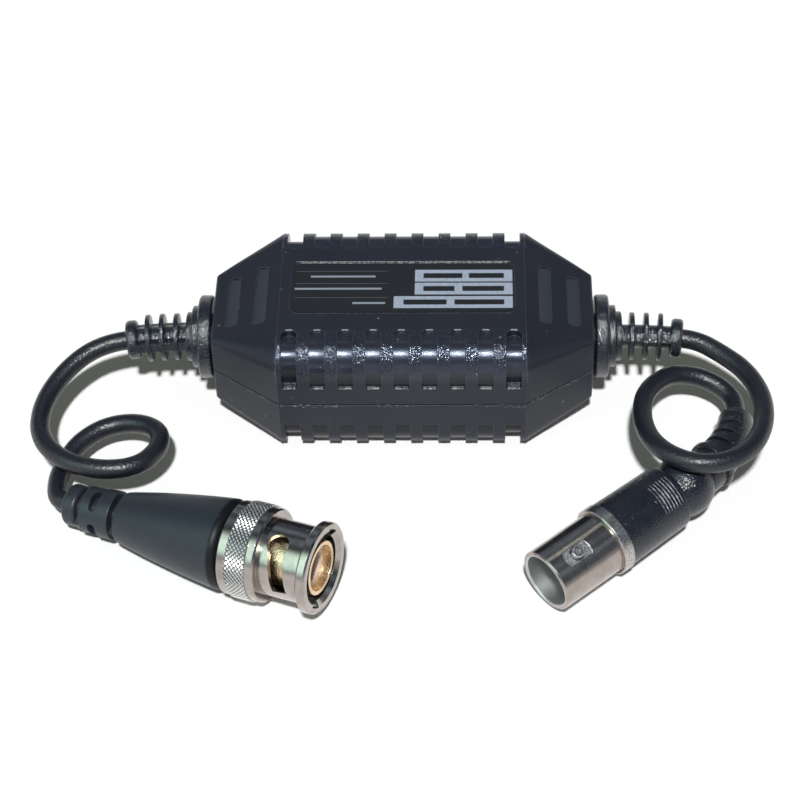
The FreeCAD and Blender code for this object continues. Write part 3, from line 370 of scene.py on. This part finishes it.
def relief(tree, place, size, detail, depth, strength=1.0, normal=None):
    # the normal over grains about size metres across and depth metres high
    noise = addNode(tree, "ShaderNodeTexNoise", {"Vector": place, "Scale": 1 / size, "Detail": detail})
    return addNode(tree, "ShaderNodeBump",
                   {"Height": noise, "Distance": depth, "Strength": strength, "Normal": normal})


def edgeMask(tree, rounded):
    # 1 where the rounded normal leaves the true one, which is along the edges
    true = addNode(tree, "ShaderNodeNewGeometry").outputs["Normal"]
    turned = addNode(tree, "ShaderNodeVectorMath", {0: rounded, 1: true}, operation="DOT_PRODUCT")
    return addNode(tree, "ShaderNodeMapRange", {"Value": turned, "From Min": 0.99, "From Max": 0.9})


def paint(tree, base, mask, colour, share=1.0):
    # the colour laid over the base where the mask is 1, as strongly as the share says
    amount = allOf(tree, mask, share) if share < 1 else mask
    return addNode(tree, "ShaderNodeMix", {0: amount, 6: base, 7: colour}, data_type="RGBA")


def finishMaterial(tree, inputs):
    shader = addNode(tree, "ShaderNodeBsdfPrincipled", inputs)
    addNode(tree, "ShaderNodeOutputMaterial", {"Surface": shader})


# the housing

housingFinish = {
    "colour": "#20232e",
    "dust": "#2d303a",
    # pale grey of the worn specks, also used for painted highlights on edges, rims, slot ends and ledges
    "wear": "#b9bec2",
    "edgeRadius": 0.12 * mm,
    # share of the painted highlight along the edges
    "edgeHighlight": 0.14,
    "grain": 0.18 * mm,  # spark-eroded grain, drawn coarser than the real 0.1 mm so that it shows
    "grainDepth": 0.078 * mm,
    "faceGrain": 0.16,  # the flat faces are smoother than the bars between the slots, by this share
    "ior": 1.53,
    "faceRoughness": 0.42,
    "barRoughness": 0.16,
    "slotRoughness": 0.28,
    "faceSpecular": 0.27,
    "barSpecular": 0.6,
    "barTint": "#d9e4ff",
    # patches: size of the grains, detail, and the noise's low and high with what they give
    "clouds": (9.0 * mm, 3.0, 0.35, 0.75, 0.0, 0.35),
    "specks": (0.9 * mm, 2.0, 0.745, 0.78),
    "speckShare": 0.35,
    "breaks": (0.35 * mm, 2.0, 0.42, 0.58, 0.15, 1.0),  # where the painted highlight lines are broken
    "topHeight": 20.5 * mm,
    "slots": {
        "pitch": 4.25 * mm,
        "half": 1.2 * mm,
        "floorShare": 0.97,  # of the half width, so that the walls aren't smooth
        "inner": 9.1 * mm,
        "rowHalf": 4.5,  # pitches from the middle to the row's end
        "crown": 0.05 * mm,  # the slots' floors are a little hollow across, which rounds their highlights
        "feetMiddle": 10.05 * mm,  # the slots stop at ledges above and below this height
        "feetHalf": 3.98 * mm,
        "barEdge": 9.0 * mm,
        "barSoft": 0.3 * mm,
        "shoulder": (15.0 * mm, 17.5 * mm),
        # painted shade for the lower part of the slots' floors
        "pocketShade": "#101218",
        "pocketShadeTop": (17.2 * mm, 16.8 * mm),  # a slot's floor is painted dark as shade below the first height, fully below the second
        "pocketShadeShare": 0.7,
        "endGlintHeight": 20.78 * mm,
        "rim": (-1.0 * mm, 0.5 * mm, -9.25 * mm, -8.9 * mm),  # painted highlight line at a slot's round end
        "glintSoft": 0.05 * mm,
        "endGlintShare": 0.65,
        "ledge": (-1.0 * mm, 0.9 * mm, 13.95 * mm, 14.2 * mm),
        "ledgeSoft": 0.06 * mm,
        "ledgeFront": (-14.45 * mm, -14.6 * mm, 0.2, 0.75),  # the painted highlight on the ledges is stronger towards the front
    },
    "seam": {
        "height": 10.25 * mm,  # of the worn specks, just under the seam
        "half": 0.3 * mm,
        "stretch": (1, 1, 2.5),
        "chips": (0.7 * mm, 4.0, 0.55, 0.66, 0.0, 1.0, 0.7),
        "runs": (8.0 * mm, 1.0, 0.42, 0.6),
        "share": 0.5,
    },
    "recess": {
        "half": 16.6 * mm,
        "rims": ((5.92 * mm, 0.75), (-5.42 * mm, 0.25)),  # place across the housing, and how strong the painted highlight is
        "rimGlintHalf": 0.07 * mm,
        "glintSoft": 0.04 * mm,
    },
    "endGrooves": {
        "places": ((26.3 * mm, 0.9 * mm, 5.2 * mm), (21.9 * mm, 0.9 * mm, 6.1 * mm)),  # from the middle, half sizes
        # painted sheen on the grooves' floors
        "floor": "#3b4048",
        "soft": 0.08 * mm,
        "share": 0.8,
    },
}


def makeHousingMaterial():
    # ABS, injection moulded in a spark-eroded mould: matt grained outside, with smooth glossy slot floors
    f = housingFinish
    slots = f["slots"]
    seam = f["seam"]
    recess = f["recess"]
    endGrooves = f["endGrooves"]
    material, tree = newMaterial("black ABS, injection moulded")
    place = objectPlace(tree)
    x, y, z = addNode(tree, "ShaderNodeSeparateXYZ", {0: place}).outputs
    fromMiddle = addNode(tree, "ShaderNodeMath", {0: x}, operation="ABSOLUTE")
    aside = addNode(tree, "ShaderNodeMath", {0: y}, operation="ABSOLUTE")

    # the slots' floors, beyond the feet
    fromSlot = addNode(tree, "ShaderNodeMath", {0: x, 1: slots["pitch"] / 2}, operation="PINGPONG")
    inSlot = addNode(tree, "ShaderNodeMath", {0: fromSlot, 1: slots["half"] * slots["floorShare"]},
                     operation="LESS_THAN")
    outwards = addNode(tree, "ShaderNodeMath", {0: aside, 1: slots["inner"]}, operation="GREATER_THAN")
    inRow = addNode(tree, "ShaderNodeMath", {0: fromMiddle, 1: slots["pitch"] * slots["rowHalf"]},
                    operation="LESS_THAN")
    aboveFeet = addNode(tree, "ShaderNodeMath", {0: z, 1: slots["feetMiddle"]}, operation="SUBTRACT")
    fromFeet = addNode(tree, "ShaderNodeMath", {0: aboveFeet}, operation="ABSOLUTE")
    beyondFeet = addNode(tree, "ShaderNodeMath", {0: fromFeet, 1: slots["feetHalf"]}, operation="GREATER_THAN")
    smooth = allOf(tree, inSlot, outwards, inRow, beyondFeet)

    # the bars between them, on the rounded shoulder
    beside = addNode(tree, "ShaderNodeMapRange", {"Value": aside, "From Min": slots["barEdge"] - slots["barSoft"],
                                                  "From Max": slots["barEdge"] + slots["barSoft"]})
    high = addNode(tree, "ShaderNodeMapRange",
                   {"Value": z, "From Min": slots["shoulder"][0], "From Max": slots["shoulder"][1]})
    curved = allOf(tree, beside, inRow, high)
    solid = addNode(tree, "ShaderNodeMath", {0: 1.0, 1: smooth}, operation="SUBTRACT")
    onBar = allOf(tree, curved, solid)

    # hollow slot floors and grain
    across = addNode(tree, "ShaderNodeMath", {0: fromSlot, 1: slots["half"]}, operation="DIVIDE")
    crown = allOf(tree, across, across, smooth)
    rounded = addNode(tree, "ShaderNodeBevel", {"Radius": f["edgeRadius"]}, samples=6)
    shaped = addNode(tree, "ShaderNodeBump",
                     {"Height": crown, "Distance": slots["crown"], "Strength": 1.0, "Normal": rounded})
    strength = addNode(tree, "ShaderNodeMapRange", {"Value": onBar, "To Min": f["faceGrain"], "To Max": 1.0})
    normal = relief(tree, place, f["grain"], 0.0, f["grainDepth"], strength, shaped)

    base = paint(tree, f["colour"], patches(tree, place, *f["clouds"]), f["dust"])
    base = paint(tree, base, patches(tree, place, *f["specks"]), f["wear"], f["speckShare"])
    # painted shade: the lower part of each slot's floor is darkened
    pocketShadeMask = addNode(tree, "ShaderNodeMapRange",
                   {"Value": z, "From Min": slots["pocketShadeTop"][0], "From Max": slots["pocketShadeTop"][1]})
    base = paint(tree, base, allOf(tree, smooth, pocketShadeMask), slots["pocketShade"], slots["pocketShadeShare"])

    # worn specks under the seam, and painted highlights along the edges, on the recess's two long rims, at the
    # slots' round ends and on their ledges, all in the wear colour
    below = addNode(tree, "ShaderNodeMath", {0: z, 1: seam["height"], 2: seam["half"]}, operation="COMPARE")
    along = addNode(tree, "ShaderNodeMapping", {"Vector": place, "Scale": seam["stretch"]})
    chips = patches(tree, along, *seam["chips"])
    runs = patches(tree, along, *seam["runs"])
    breaks = patches(tree, place, *f["breaks"])
    wear = [allOf(tree, below, chips, runs, seam["share"]), allOf(tree, edgeMask(tree, rounded), f["edgeHighlight"])]
    top = addNode(tree, "ShaderNodeMath", {0: z, 1: f["topHeight"]}, operation="GREATER_THAN")
    # painted highlights along the recess's two long rims
    for middle, share in recess["rims"]:
        box = (-recess["half"], recess["half"], middle - recess["rimGlintHalf"], middle + recess["rimGlintHalf"])
        wear.append(allOf(tree, boxMask(tree, x, y, box, recess["glintSoft"]), top, breaks, share))
    # painted highlights at the slots' round ends
    atEndGlint = addNode(tree, "ShaderNodeMath", {0: z, 1: slots["endGlintHeight"]}, operation="GREATER_THAN")
    slotEndGlint = boxMask(tree, fromSlot, y, slots["rim"], slots["glintSoft"])
    wear.append(allOf(tree, slotEndGlint, inRow, atEndGlint, slots["endGlintShare"]))
    # painted highlights on the slots' lower ledges, stronger towards the front
    start, end, least, most = slots["ledgeFront"]
    front = addNode(tree, "ShaderNodeMapRange",
                    {"Value": y, "From Min": start, "From Max": end, "To Min": least, "To Max": most})
    ledge = boxMask(tree, fromSlot, z, slots["ledge"], slots["ledgeSoft"])
    wear.append(allOf(tree, ledge, smooth, breaks, front))
    base = paint(tree, base, anyOf(tree, *wear), f["wear"])

    # painted sheen: the oval grooves' floors on the end portions are painted paler than the faces round them
    for distance, halfWidth, halfLength in endGrooves["places"]:
        box = (distance - halfWidth, distance + halfWidth, -mm, halfLength)
        inside = boxMask(tree, fromMiddle, aside, box, endGrooves["soft"])
        base = paint(tree, base, inside, endGrooves["floor"], endGrooves["share"])

    rough = addNode(tree, "ShaderNodeMapRange",
                    {"Value": onBar, "To Min": f["faceRoughness"], "To Max": f["barRoughness"]})
    rough = addNode(tree, "ShaderNodeMix", {0: smooth, 2: rough, 3: f["slotRoughness"]})
    specular = addNode(tree, "ShaderNodeMapRange",
                       {"Value": curved, "To Min": f["faceSpecular"], "To Max": f["barSpecular"]})
    tint = paint(tree, "#ffffff", curved, f["barTint"])
    finishMaterial(tree, {"Base Color": base, "Roughness": rough, "IOR": f["ior"], "Specular IOR Level": specular,
                          "Specular Tint": tint, "Normal": normal})
    return material


# the label, with every box as left, right, near and far edge in millimetres

labelFinish = {
    "film": "#15171b",
    "filmPale": "#22262c",
    "field": "#a9b4c6",
    "fieldDark": "#939fb2",
    "mark": "#8e96a2",
    "rule": "#6d747e",
    "ruleShare": 0.7,
    "fields": ((1.9, 17.0, 1.6, 4.2), (1.9, 17.0, -1.25, 1.33), (-1.3, 16.9, -4.2, -1.63)),
    "rules": ((-16.5, -2.3, 3.86, 3.94), (-16.5, -2.3, 1.16, 1.24), (-16.5, -2.3, -1.94, -1.86)),
    "darkMarks": ((3.2, 9.2, 2.35, 3.45), (10.2, 15.6, 2.35, 3.45), (3.2, 8.0, -0.5, 0.6), (9.2, 15.6, -0.5, 0.6),
                  (0.2, 6.8, -3.45, -2.35), (8.0, 15.6, -3.45, -2.35)),
    "paleMarks": ((-14.2, -4.2, 2.55, 2.95), (-16.6, -3.2, -0.15, 0.25), (-7.6, -2.6, -3.3, -2.9)),
    "mottle": (0.35 * mm, 3.0),
    "waves": (0.6 * mm, 2.0, 0.01 * mm),
    "roughness": 0.33,
    "ior": 1.57,
}


def makeLabelMaterial():
    # polyester film, screen printed: dark gloss with plain pale fields and thin rules
    f = labelFinish
    material, tree = newMaterial("label film, screen printed polyester")
    place = objectPlace(tree)
    x, y = addNode(tree, "ShaderNodeSeparateXYZ", {0: place}).outputs[:2]
    base = paint(tree, f["film"], patches(tree, place, *f["mottle"], 0.3, 0.8, 0.0, 0.3), f["filmPale"])
    fieldInk = paint(tree, f["field"], patches(tree, place, *f["mottle"], 0.3, 0.7), f["fieldDark"])
    # the fields first, then the plain bars, then the rules: edge softness, ink and share of each
    prints = (
        (f["fields"], 0.05 * mm, fieldInk, 1.0),
        (f["darkMarks"], 0.06 * mm, f["film"], 1.0),
        (f["paleMarks"], 0.06 * mm, f["mark"], 1.0),
        (f["rules"], 0.03 * mm, f["rule"], f["ruleShare"]),
    )
    for boxes, soft, ink, share in prints:
        for box in boxes:
            mask = boxMask(tree, x, y, [edge * mm for edge in box], soft)
            base = paint(tree, base, mask, ink, share)
    normal = relief(tree, place, *f["waves"])
    finishMaterial(tree, {"Base Color": base, "Roughness": f["roughness"], "IOR": f["ior"], "Normal": normal})
    return material


# the mouldings over the cables, and the jack's grip with its painted highlights

mouldingFinish = {
    "colour": "#161a26",
    "pale": "#24272b",
    # painted highlight along the edges
    "edge": "#5f646a",
    "edgeHighlightShare": 0.18,
    "speck": "#a4a9ad",
    # painted shade on the boot's rounded front behind the nut
    "front": "#0c0e12",
    "grain": 0.2 * mm,
    "grainDepth": 0.1 * mm,
    "edgeRadius": 0.1 * mm,
    "clouds": (5.0 * mm, 3.0),
    "specks": (0.7 * mm, 2.0, 0.75, 0.79),
    "speckShare": 0.3,
    "frontStart": -1.7 * mm,
    "frontSoft": 0.4 * mm,
    "frontShadeShare": 0.85,
    "frontSpecular": 0.2,
    "ior": 1.52,
}
grip = {
    "start": 20.1 * mm,
    "end": 23.55 * mm,
    "half": 2.3 * mm,
    "soft": 0.3 * mm,
    "angle": 25.0,
    "ridgeGlint": "#c3c8d3",
    "groove": 23.2 * mm,  # the last groove's place along the jack
    "pitch": 0.56 * mm,
    "line": 0.06 * mm,  # half width of the painted highlight line on each ridge
    "lineSoft": 0.04 * mm,
    "breaks": (0.5 * mm, 1.0, 0.4, 0.6, 0.25, 1.0),
}


def gripGlintMask(tree):
    # painted highlights: thin broken lines on the ridges of the grip that face the camera
    x, aside, _ = aroundAxis(tree, objectPlace(tree, jackFrame), grip["angle"])
    zone = boxMask(tree, x, aside, (grip["start"], grip["end"], -grip["half"], grip["half"]), grip["soft"])
    along = addNode(tree, "ShaderNodeMath", {0: x, 1: grip["groove"]}, operation="SUBTRACT")
    fromGroove = addNode(tree, "ShaderNodeMath", {0: along, 1: grip["pitch"] / 2}, operation="PINGPONG")
    ridge = grip["pitch"] / 2 - grip["line"]
    lines = addNode(tree, "ShaderNodeMapRange", {"Value": fromGroove, "From Min": ridge - grip["lineSoft"],
                                                 "From Max": ridge + grip["lineSoft"]})
    return allOf(tree, zone, lines, patches(tree, objectPlace(tree), *grip["breaks"]))


def makeMouldingMaterial(name, grainStrength, roughness, colour=mouldingFinish["colour"], frontOf=None, gloss=0.5,
                         gripped=False):
    # flexible PVC, injection moulded over the cable: grained like the mould, a little waxy
    f = mouldingFinish
    material, tree = newMaterial(name)
    place = objectPlace(tree)
    rounded = addNode(tree, "ShaderNodeBevel", {"Radius": f["edgeRadius"]}, samples=6)
    normal = relief(tree, place, f["grain"], 0.0, f["grainDepth"], grainStrength, rounded)
    base = paint(tree, colour, patches(tree, place, *f["clouds"], 0.35, 0.75, 0.0, 0.5), f["pale"])
    # painted highlight: the edges are painted paler
    base = paint(tree, base, edgeMask(tree, rounded), f["edge"], f["edgeHighlightShare"])
    if gripped:
        # painted highlights on the grip's ridges
        base = paint(tree, base, gripGlintMask(tree), grip["ridgeGlint"])
    base = paint(tree, base, patches(tree, place, *f["specks"]), f["speck"], f["speckShare"])
    rough = patches(tree, place, *f["clouds"], 0.3, 0.8, roughness - 0.03, roughness + 0.05)
    specular = gloss
    if frontOf is not None:
        # painted shade: the rounded front behind the nut is painted darker, and has less sheen
        along = addNode(tree, "ShaderNodeSeparateXYZ", {0: objectPlace(tree, frontOf)})
        front = addNode(tree, "ShaderNodeMapRange",
                        {"Value": along, "From Min": f["frontStart"], "From Max": f["frontStart"] + f["frontSoft"]})
        base = paint(tree, base, front, f["front"], f["frontShadeShare"])
        specular = addNode(tree, "ShaderNodeMapRange",
                           {"Value": front, "To Min": gloss, "To Max": f["frontSpecular"]})
    finishMaterial(tree, {"Base Color": base, "Roughness": rough, "IOR": f["ior"], "Specular IOR Level": specular,
                          "Normal": normal})
    return material


cableFinish = {
    "colour": "#191b23",
    "scuff": "#2c2f38",
    "waves": (0.4 * mm, 1.0, 0.08 * mm),
    "scuffs": (0.5 * mm, 3.0),
    "roughness": 0.36,
    "ior": 1.53,
}


def makeCableMaterial():
    # PVC cable jacket, extruded: smooth and glossy with faint waviness
    f = cableFinish
    material, tree = newMaterial("cable jacket, extruded PVC")
    place = objectPlace(tree)
    base = paint(tree, f["colour"], patches(tree, place, *f["scuffs"], 0.6, 0.8, 0.0, 0.4), f["scuff"])
    rough = patches(tree, place, *f["scuffs"], 0.3, 0.75, f["roughness"] - 0.04, f["roughness"] + 0.08)
    normal = relief(tree, place, *f["waves"])
    finishMaterial(tree, {"Base Color": base, "Roughness": rough, "IOR": f["ior"], "Normal": normal})
    return material


# the connectors' metal

metalFinish = {
    "edgeRadius": 0.08 * mm,
    "clouds": (2.5 * mm, 4.0, 0.4, 0.75, 0.0),
    "cloudRoughness": 0.6,
    "fine": (0.3 * mm, 3.0, 0.3, 0.75),
    "marks": 0.12 * mm,  # pitch of the turning marks, coarser than the real ones so that they show
    "pits": 0.2 * mm,
    # painted shade in the knurl's valleys
    "valley": "#3c3b3d",
}
flats = {
    "place": 4.6 * mm,  # along the jack from its mouth
    "half": 2.3 * mm,
    "width": 1.2 * mm,
    "angle": 21.0,  # about the jack's axis, from straight up towards the camera
    "soft": 0.05 * mm,
    "sideSoft": 0.1 * mm,
    "relief": (0.22 * mm, 1.0, 0.05 * mm),
    "roughness": 0.14,
    "cuts": (0.2 * mm, 2.0, 0.4, 0.62),
    "cutDark": "#8a898d",
    "cutBright": "#f4f3f1",
    "share": 0.75,
    "collarStart": 10.95 * mm,
    "collarEnd": 12.6 * mm,
    "collarShare": 0.6,
    "rings": (1.05 * mm, 0.55 * mm),  # dark rings round the lug's foot and on its top
    "ringWidth": (0.14 * mm, 0.05 * mm),
    "ring": "#3a3940",
    "ringShare": 0.8,
    "boreEdge": 4.4 * mm,  # the bore is reamed and less shiny than the outside
    "boreSoft": 0.1 * mm,
    "boreRoughness": 0.22,
    "bore": "#c3c4c6",
}


def lugMasks(tree, coordinates):
    # the milled flats round the jack's lug with, more weakly, its collar, then the rings of the lug
    x, aside, outwards = aroundAxis(tree, coordinates, flats["angle"])
    fromLug = addNode(tree, "ShaderNodeMath", {0: x, 1: flats["place"]}, operation="SUBTRACT")
    distance = distanceFrom(tree, fromLug, aside)
    outer = addNode(tree, "ShaderNodeMath", {0: outwards, 1: 0.0}, operation="GREATER_THAN")
    disc = addNode(tree, "ShaderNodeMapRange", {"Value": distance, "From Min": flats["half"] + flats["soft"],
                                                "From Max": flats["half"] - flats["soft"]})
    inside = allOf(tree, disc, outer)
    toSide = addNode(tree, "ShaderNodeMath", {0: aside}, operation="ABSOLUTE")
    across = addNode(tree, "ShaderNodeMapRange", {"Value": toSide, "From Min": flats["width"] + flats["sideSoft"],
                                                  "From Max": flats["width"] - flats["sideSoft"]})
    ends = (flats["collarStart"], flats["collarEnd"])
    collar = boxMask(tree, x, x, (*ends, *ends), flats["sideSoft"])
    rings = []
    for radius in flats["rings"]:
        offset = addNode(tree, "ShaderNodeMath", {0: distance, 1: radius}, operation="SUBTRACT")
        offset = addNode(tree, "ShaderNodeMath", {0: offset}, operation="ABSOLUTE")
        rings.append(addNode(tree, "ShaderNodeMapRange", {"Value": offset, "From Min": flats["ringWidth"][0],
                                                          "From Max": flats["ringWidth"][1]}))
    milled = anyOf(tree, allOf(tree, inside, across), allOf(tree, collar, flats["collarShare"]))
    return milled, allOf(tree, inside, anyOf(tree, *rings))


def makeMetalMaterial(name, colour, tarnish, roughness, place=None, turning=0.0, wear=0.35, sharp=False, pits=0.0,
                      milled=False, shadedValleys=None):
    # a plated or bare metal turned on a lathe: turning is the depth of the marks round the axis, pits their own
    f = metalFinish
    material, tree = newMaterial(name)
    coordinates = objectPlace(tree, place)
    x, y, z = addNode(tree, "ShaderNodeSeparateXYZ", {0: coordinates}).outputs
    normal = None
    if not sharp:
        normal = addNode(tree, "ShaderNodeBevel", {"Radius": f["edgeRadius"]}, samples=6)
    if turning > 0:
        marks = addNode(tree, "ShaderNodeTexNoise", {"W": x, "Scale": 1 / f["marks"], "Detail": 3.0},
                        noise_dimensions="1D")
        normal = addNode(tree, "ShaderNodeBump",
                         {"Height": marks, "Distance": turning, "Strength": 1.0, "Normal": normal})
    if pits > 0:
        normal = relief(tree, coordinates, f["pits"], 1.0, pits, 1.0, normal)
    clouds = patches(tree, coordinates, *f["clouds"], wear, f["cloudRoughness"])
    base = paint(tree, colour, clouds, tarnish)
    rough = patches(tree, coordinates, *f["fine"], roughness - 0.04, roughness + 0.1)
    if milled:
        places, rings = lugMasks(tree, coordinates)
        normal = relief(tree, coordinates, *flats["relief"], places, normal)
        rough = addNode(tree, "ShaderNodeMath", {0: places, 1: flats["roughness"], 2: rough},
                        operation="MULTIPLY_ADD")
        cuts = paint(tree, flats["cutDark"], patches(tree, coordinates, *flats["cuts"]), flats["cutBright"])
        base = paint(tree, base, places, cuts, flats["share"])
        base = paint(tree, base, rings, flats["ring"], flats["ringShare"])
        bore = addNode(tree, "ShaderNodeMapRange", {"Value": distanceFrom(tree, y, z), "From Min": flats["boreEdge"],
                                                    "From Max": flats["boreEdge"] - flats["boreSoft"]})
        rough = addNode(tree, "ShaderNodeMath", {0: bore, 1: flats["boreRoughness"], 2: rough},
                        operation="MULTIPLY_ADD")
        base = paint(tree, base, bore, flats["bore"])
    # painted shade: darker towards the knurl's valleys
    if shadedValleys is not None:
        raised = addNode(tree, "ShaderNodeMapRange",
                         {"Value": distanceFrom(tree, y, z), "From Min": shadedValleys[0], "From Max": shadedValleys[1]})
        base = paint(tree, f["valley"], raised, base)
    finishMaterial(tree, {"Base Color": base, "Metallic": 1.0, "Roughness": rough, "Normal": normal})
    return material


def makePlainMaterial(name, colour, other, roughness, size, depth, ior=1.5):
    # a quiet material with a little colour change and relief at the given size
    material, tree = newMaterial(name)
    place = objectPlace(tree)
    base = paint(tree, colour, patches(tree, place, size, 3.0, 0.35, 0.7), other)
    normal = relief(tree, place, size, 3.0, depth)
    finishMaterial(tree, {"Base Color": base, "Roughness": roughness, "IOR": ior, "Normal": normal})
    return material


materials = {
    "housing": makeHousingMaterial(),
    "label": makeLabelMaterial(),
    # glossy with coarse grain, so that each rib sparkles a little
    "relief": makeMouldingMaterial("strain relief PVC, grained", 1.0, 0.15, gloss=0.75),
    # nearly smooth, with a broad dull sheen along its length
    "boot": makeMouldingMaterial("plug boot PVC, satin", 0.05, 0.42, "#283038", plugFrame, gloss=0.38),
    # grained, with painted highlight lines on the ridges of its grip
    "jackBoot": makeMouldingMaterial("jack boot PVC, grained", 0.8, 0.2, gripped=True),
    "cable": makeCableMaterial(),
    # bright and slightly warm, with faint rings from the lathe
    "plugNickel": makeMetalMaterial("nickel plate on turned brass, plug", "#b5ada7", "#847c77", 0.16, plugFrame,
                                    0.006 * mm, 0.6),
    # the points glitter, and the valleys are painted dark as shade
    "knurlNickel": makeMetalMaterial("nickel plate on rolled diamond knurl", "#e9e8e6", "#b9b7b3", 0.2, plugFrame,
                                     sharp=True, shadedValleys=(7.15 * mm, 7.24 * mm)),
    # a mirror round the barrel, with rough milled flats and a dull bore
    "jackNickel": makeMetalMaterial("nickel plate on turned brass, jack", "#aea49e", "#88827b", 0.18, jackFrame,
                                    0.006 * mm, 0.6, milled=True),
    # softly bright, because a drawn sleeve isn't polished
    "nickel": makeMetalMaterial("nickel plated ferrule, drawn brass", "#c8c5bb", "#9a968b", 0.25),
    # pale copper and pitted
    "contact": makeMetalMaterial("contact, plated phosphor bronze", "#ecd3b0", "#b2986c", 0.25, plugFrame,
                                 0.003 * mm, 0.7, pits=0.055 * mm),
    # warm and bright, with fine rings from the lathe
    "gold": makeMetalMaterial("gold plate on turned brass", "#e2b25c", "#c2913f", 0.2, plugFrame, 0.002 * mm),
    # grey and a little dull
    "spring": makeMetalMaterial("spring steel, hardened and ground", "#9c9b98", "#7d7a74", 0.3, plugFrame,
                                0.003 * mm),
    # ivory and pale grey, both waxy
    "insulator": makePlainMaterial("acetal insulator, turned", "#e6d6ca", "#d8c2b4", 0.38, 0.8 * mm, 0.004 * mm),
    "jackInsulator": makePlainMaterial("polymethylpentene insulator, moulded", "#dfe1df", "#cfd1cf", 0.3,
                                       0.8 * mm, 0.004 * mm),
    # brick red and matt
    "seal": makePlainMaterial("silicone gasket, moulded", "#8c3224", "#7a2a1e", 0.5, 0.5 * mm, 0.01 * mm, 1.43),
    # dark green with a satin sheen
    "board": makePlainMaterial("glass epoxy board, solder mask", "#1f5a35", "#276a40", 0.35, 1.2 * mm, 0.01 * mm),
    # nearly black and dull
    "ferrite": makePlainMaterial("ferrite core, sintered", "#2c2c2e", "#3a3a3c", 0.6, 0.3 * mm, 0.02 * mm),
    # coppery brown and glossy
    "winding": makePlainMaterial("enamelled copper wire, wound", "#8a4a24", "#a05a2c", 0.3, 0.4 * mm, 0.05 * mm),
    # ochre and glossy, a little uneven
    "capacitor": makePlainMaterial("ceramic capacitor, dipped epoxy", "#b26a28", "#c07a34", 0.32, 1.0 * mm,
                                   0.02 * mm),
}

nodesOf = {
    "housing": ("upper_shell", "lower_shell"),
    "label": ("label",),
    "board": ("circuit_board",),
    "ferrite": ("transformer_core",),
    "winding": ("primary_winding", "secondary_winding"),
    "capacitor": ("left_capacitor", "right_capacitor"),
    "cable": ("left_inner_lead", "right_inner_lead", "plug_inner_lead", "jack_inner_lead"),
    "relief": ("left_strain_relief", "right_strain_relief"),
    "plugNickel": ("coupling_nut",),
    "spring": ("thrust_washer", "spring_washer", "snap_ring"),
    "contact": ("plug_body",),
    "seal": ("plug_gasket",),
    "insulator": ("plug_insulator",),
    "gold": ("plug_pin", "jack_contact"),
    "nickel": ("plug_ferrule", "jack_ferrule"),
    "boot": ("plug_boot",),
    "jackNickel": ("jack_body",),
    "jackInsulator": ("jack_insulator",),
    "jackBoot": ("jack_boot",),
}
for finish, names in nodesOf.items():
    for name in names:
        nodes[name].data.materials[0] = materials[finish]
for piece in (leftCable, rightCable):
    piece.data.materials.append(materials["cable"])
print("materials made:", len(materials))

# diamond knurl round the coupling nut

knurl = {
    "start": 1.6 * mm,
    "end": 4.85 * mm,
    "valley": 7.16 * mm,
    "height": 0.17 * mm,
    "around": 60,
    "rows": 5,
    "rimMargin": 0.01 * mm,  # an edge this near an end is on the drum's rim
}


def makeKnurl():
    # an open drum is cut into diamonds, and each diamond is raised to a point
    deselectAll()
    length = knurl["end"] - knurl["start"]
    bpy.ops.mesh.primitive_cylinder_add(vertices=knurl["around"], radius=knurl["valley"], depth=length,
                                        end_fill_type="NOTHING", location=(0, 0, 0))
    piece = bpy.context.object
    piece.name = "nutKnurl"
    bpy.ops.object.mode_set(mode="EDIT")
    bpy.ops.mesh.select_mode(type="EDGE")
    bpy.ops.mesh.select_all(action="DESELECT")
    bpy.ops.object.mode_set(mode="OBJECT")
    for edge in piece.data.edges:
        ends = [piece.data.vertices[i].co for i in edge.vertices]
        edge.select = abs(ends[0].z - ends[1].z) > length / 2
    bpy.ops.object.mode_set(mode="EDIT")
    bpy.ops.mesh.subdivide(number_cuts=knurl["rows"] - 1)
    bpy.ops.object.mode_set(mode="OBJECT")
    old = len(piece.data.vertices)
    bpy.ops.object.mode_set(mode="EDIT")
    bpy.ops.mesh.select_mode(type="FACE")
    bpy.ops.mesh.select_all(action="SELECT")
    bpy.ops.mesh.poke()
    bpy.ops.mesh.select_mode(type="EDGE")
    bpy.ops.mesh.select_all(action="DESELECT")
    bpy.ops.object.mode_set(mode="OBJECT")
    rim = length / 2 - knurl["rimMargin"]
    for edge in piece.data.edges:
        first, second = edge.vertices
        onRim = abs(piece.data.vertices[first].co.z) > rim and abs(piece.data.vertices[second].co.z) > rim
        edge.select = first < old and second < old and not onRim
    bpy.ops.object.mode_set(mode="EDIT")
    bpy.ops.mesh.dissolve_edges(use_verts=False)
    bpy.ops.mesh.select_mode(type="FACE")
    bpy.ops.mesh.select_all(action="SELECT")
    bpy.ops.mesh.poke(offset=knurl["height"])
    bpy.ops.object.mode_set(mode="OBJECT")
    # the drum's own axis becomes the plug's axis
    alongAxis = Matrix.Rotation(math.radians(90), 4, "Y")
    middle = Matrix.Translation(((knurl["start"] + knurl["end"]) / 2, 0, 0))
    piece.data.transform(frameMatrix(plugFrame) @ middle @ alongAxis)
    for vertex in piece.data.vertices:
        vertex.co.z = max(vertex.co.z, 0)  # the lowest points rest on the table
    piece.data.materials.append(materials["knurlNickel"])
    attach(piece, "nut")
    print("knurl faces:", len(piece.data.polygons))


makeKnurl()

print("done")
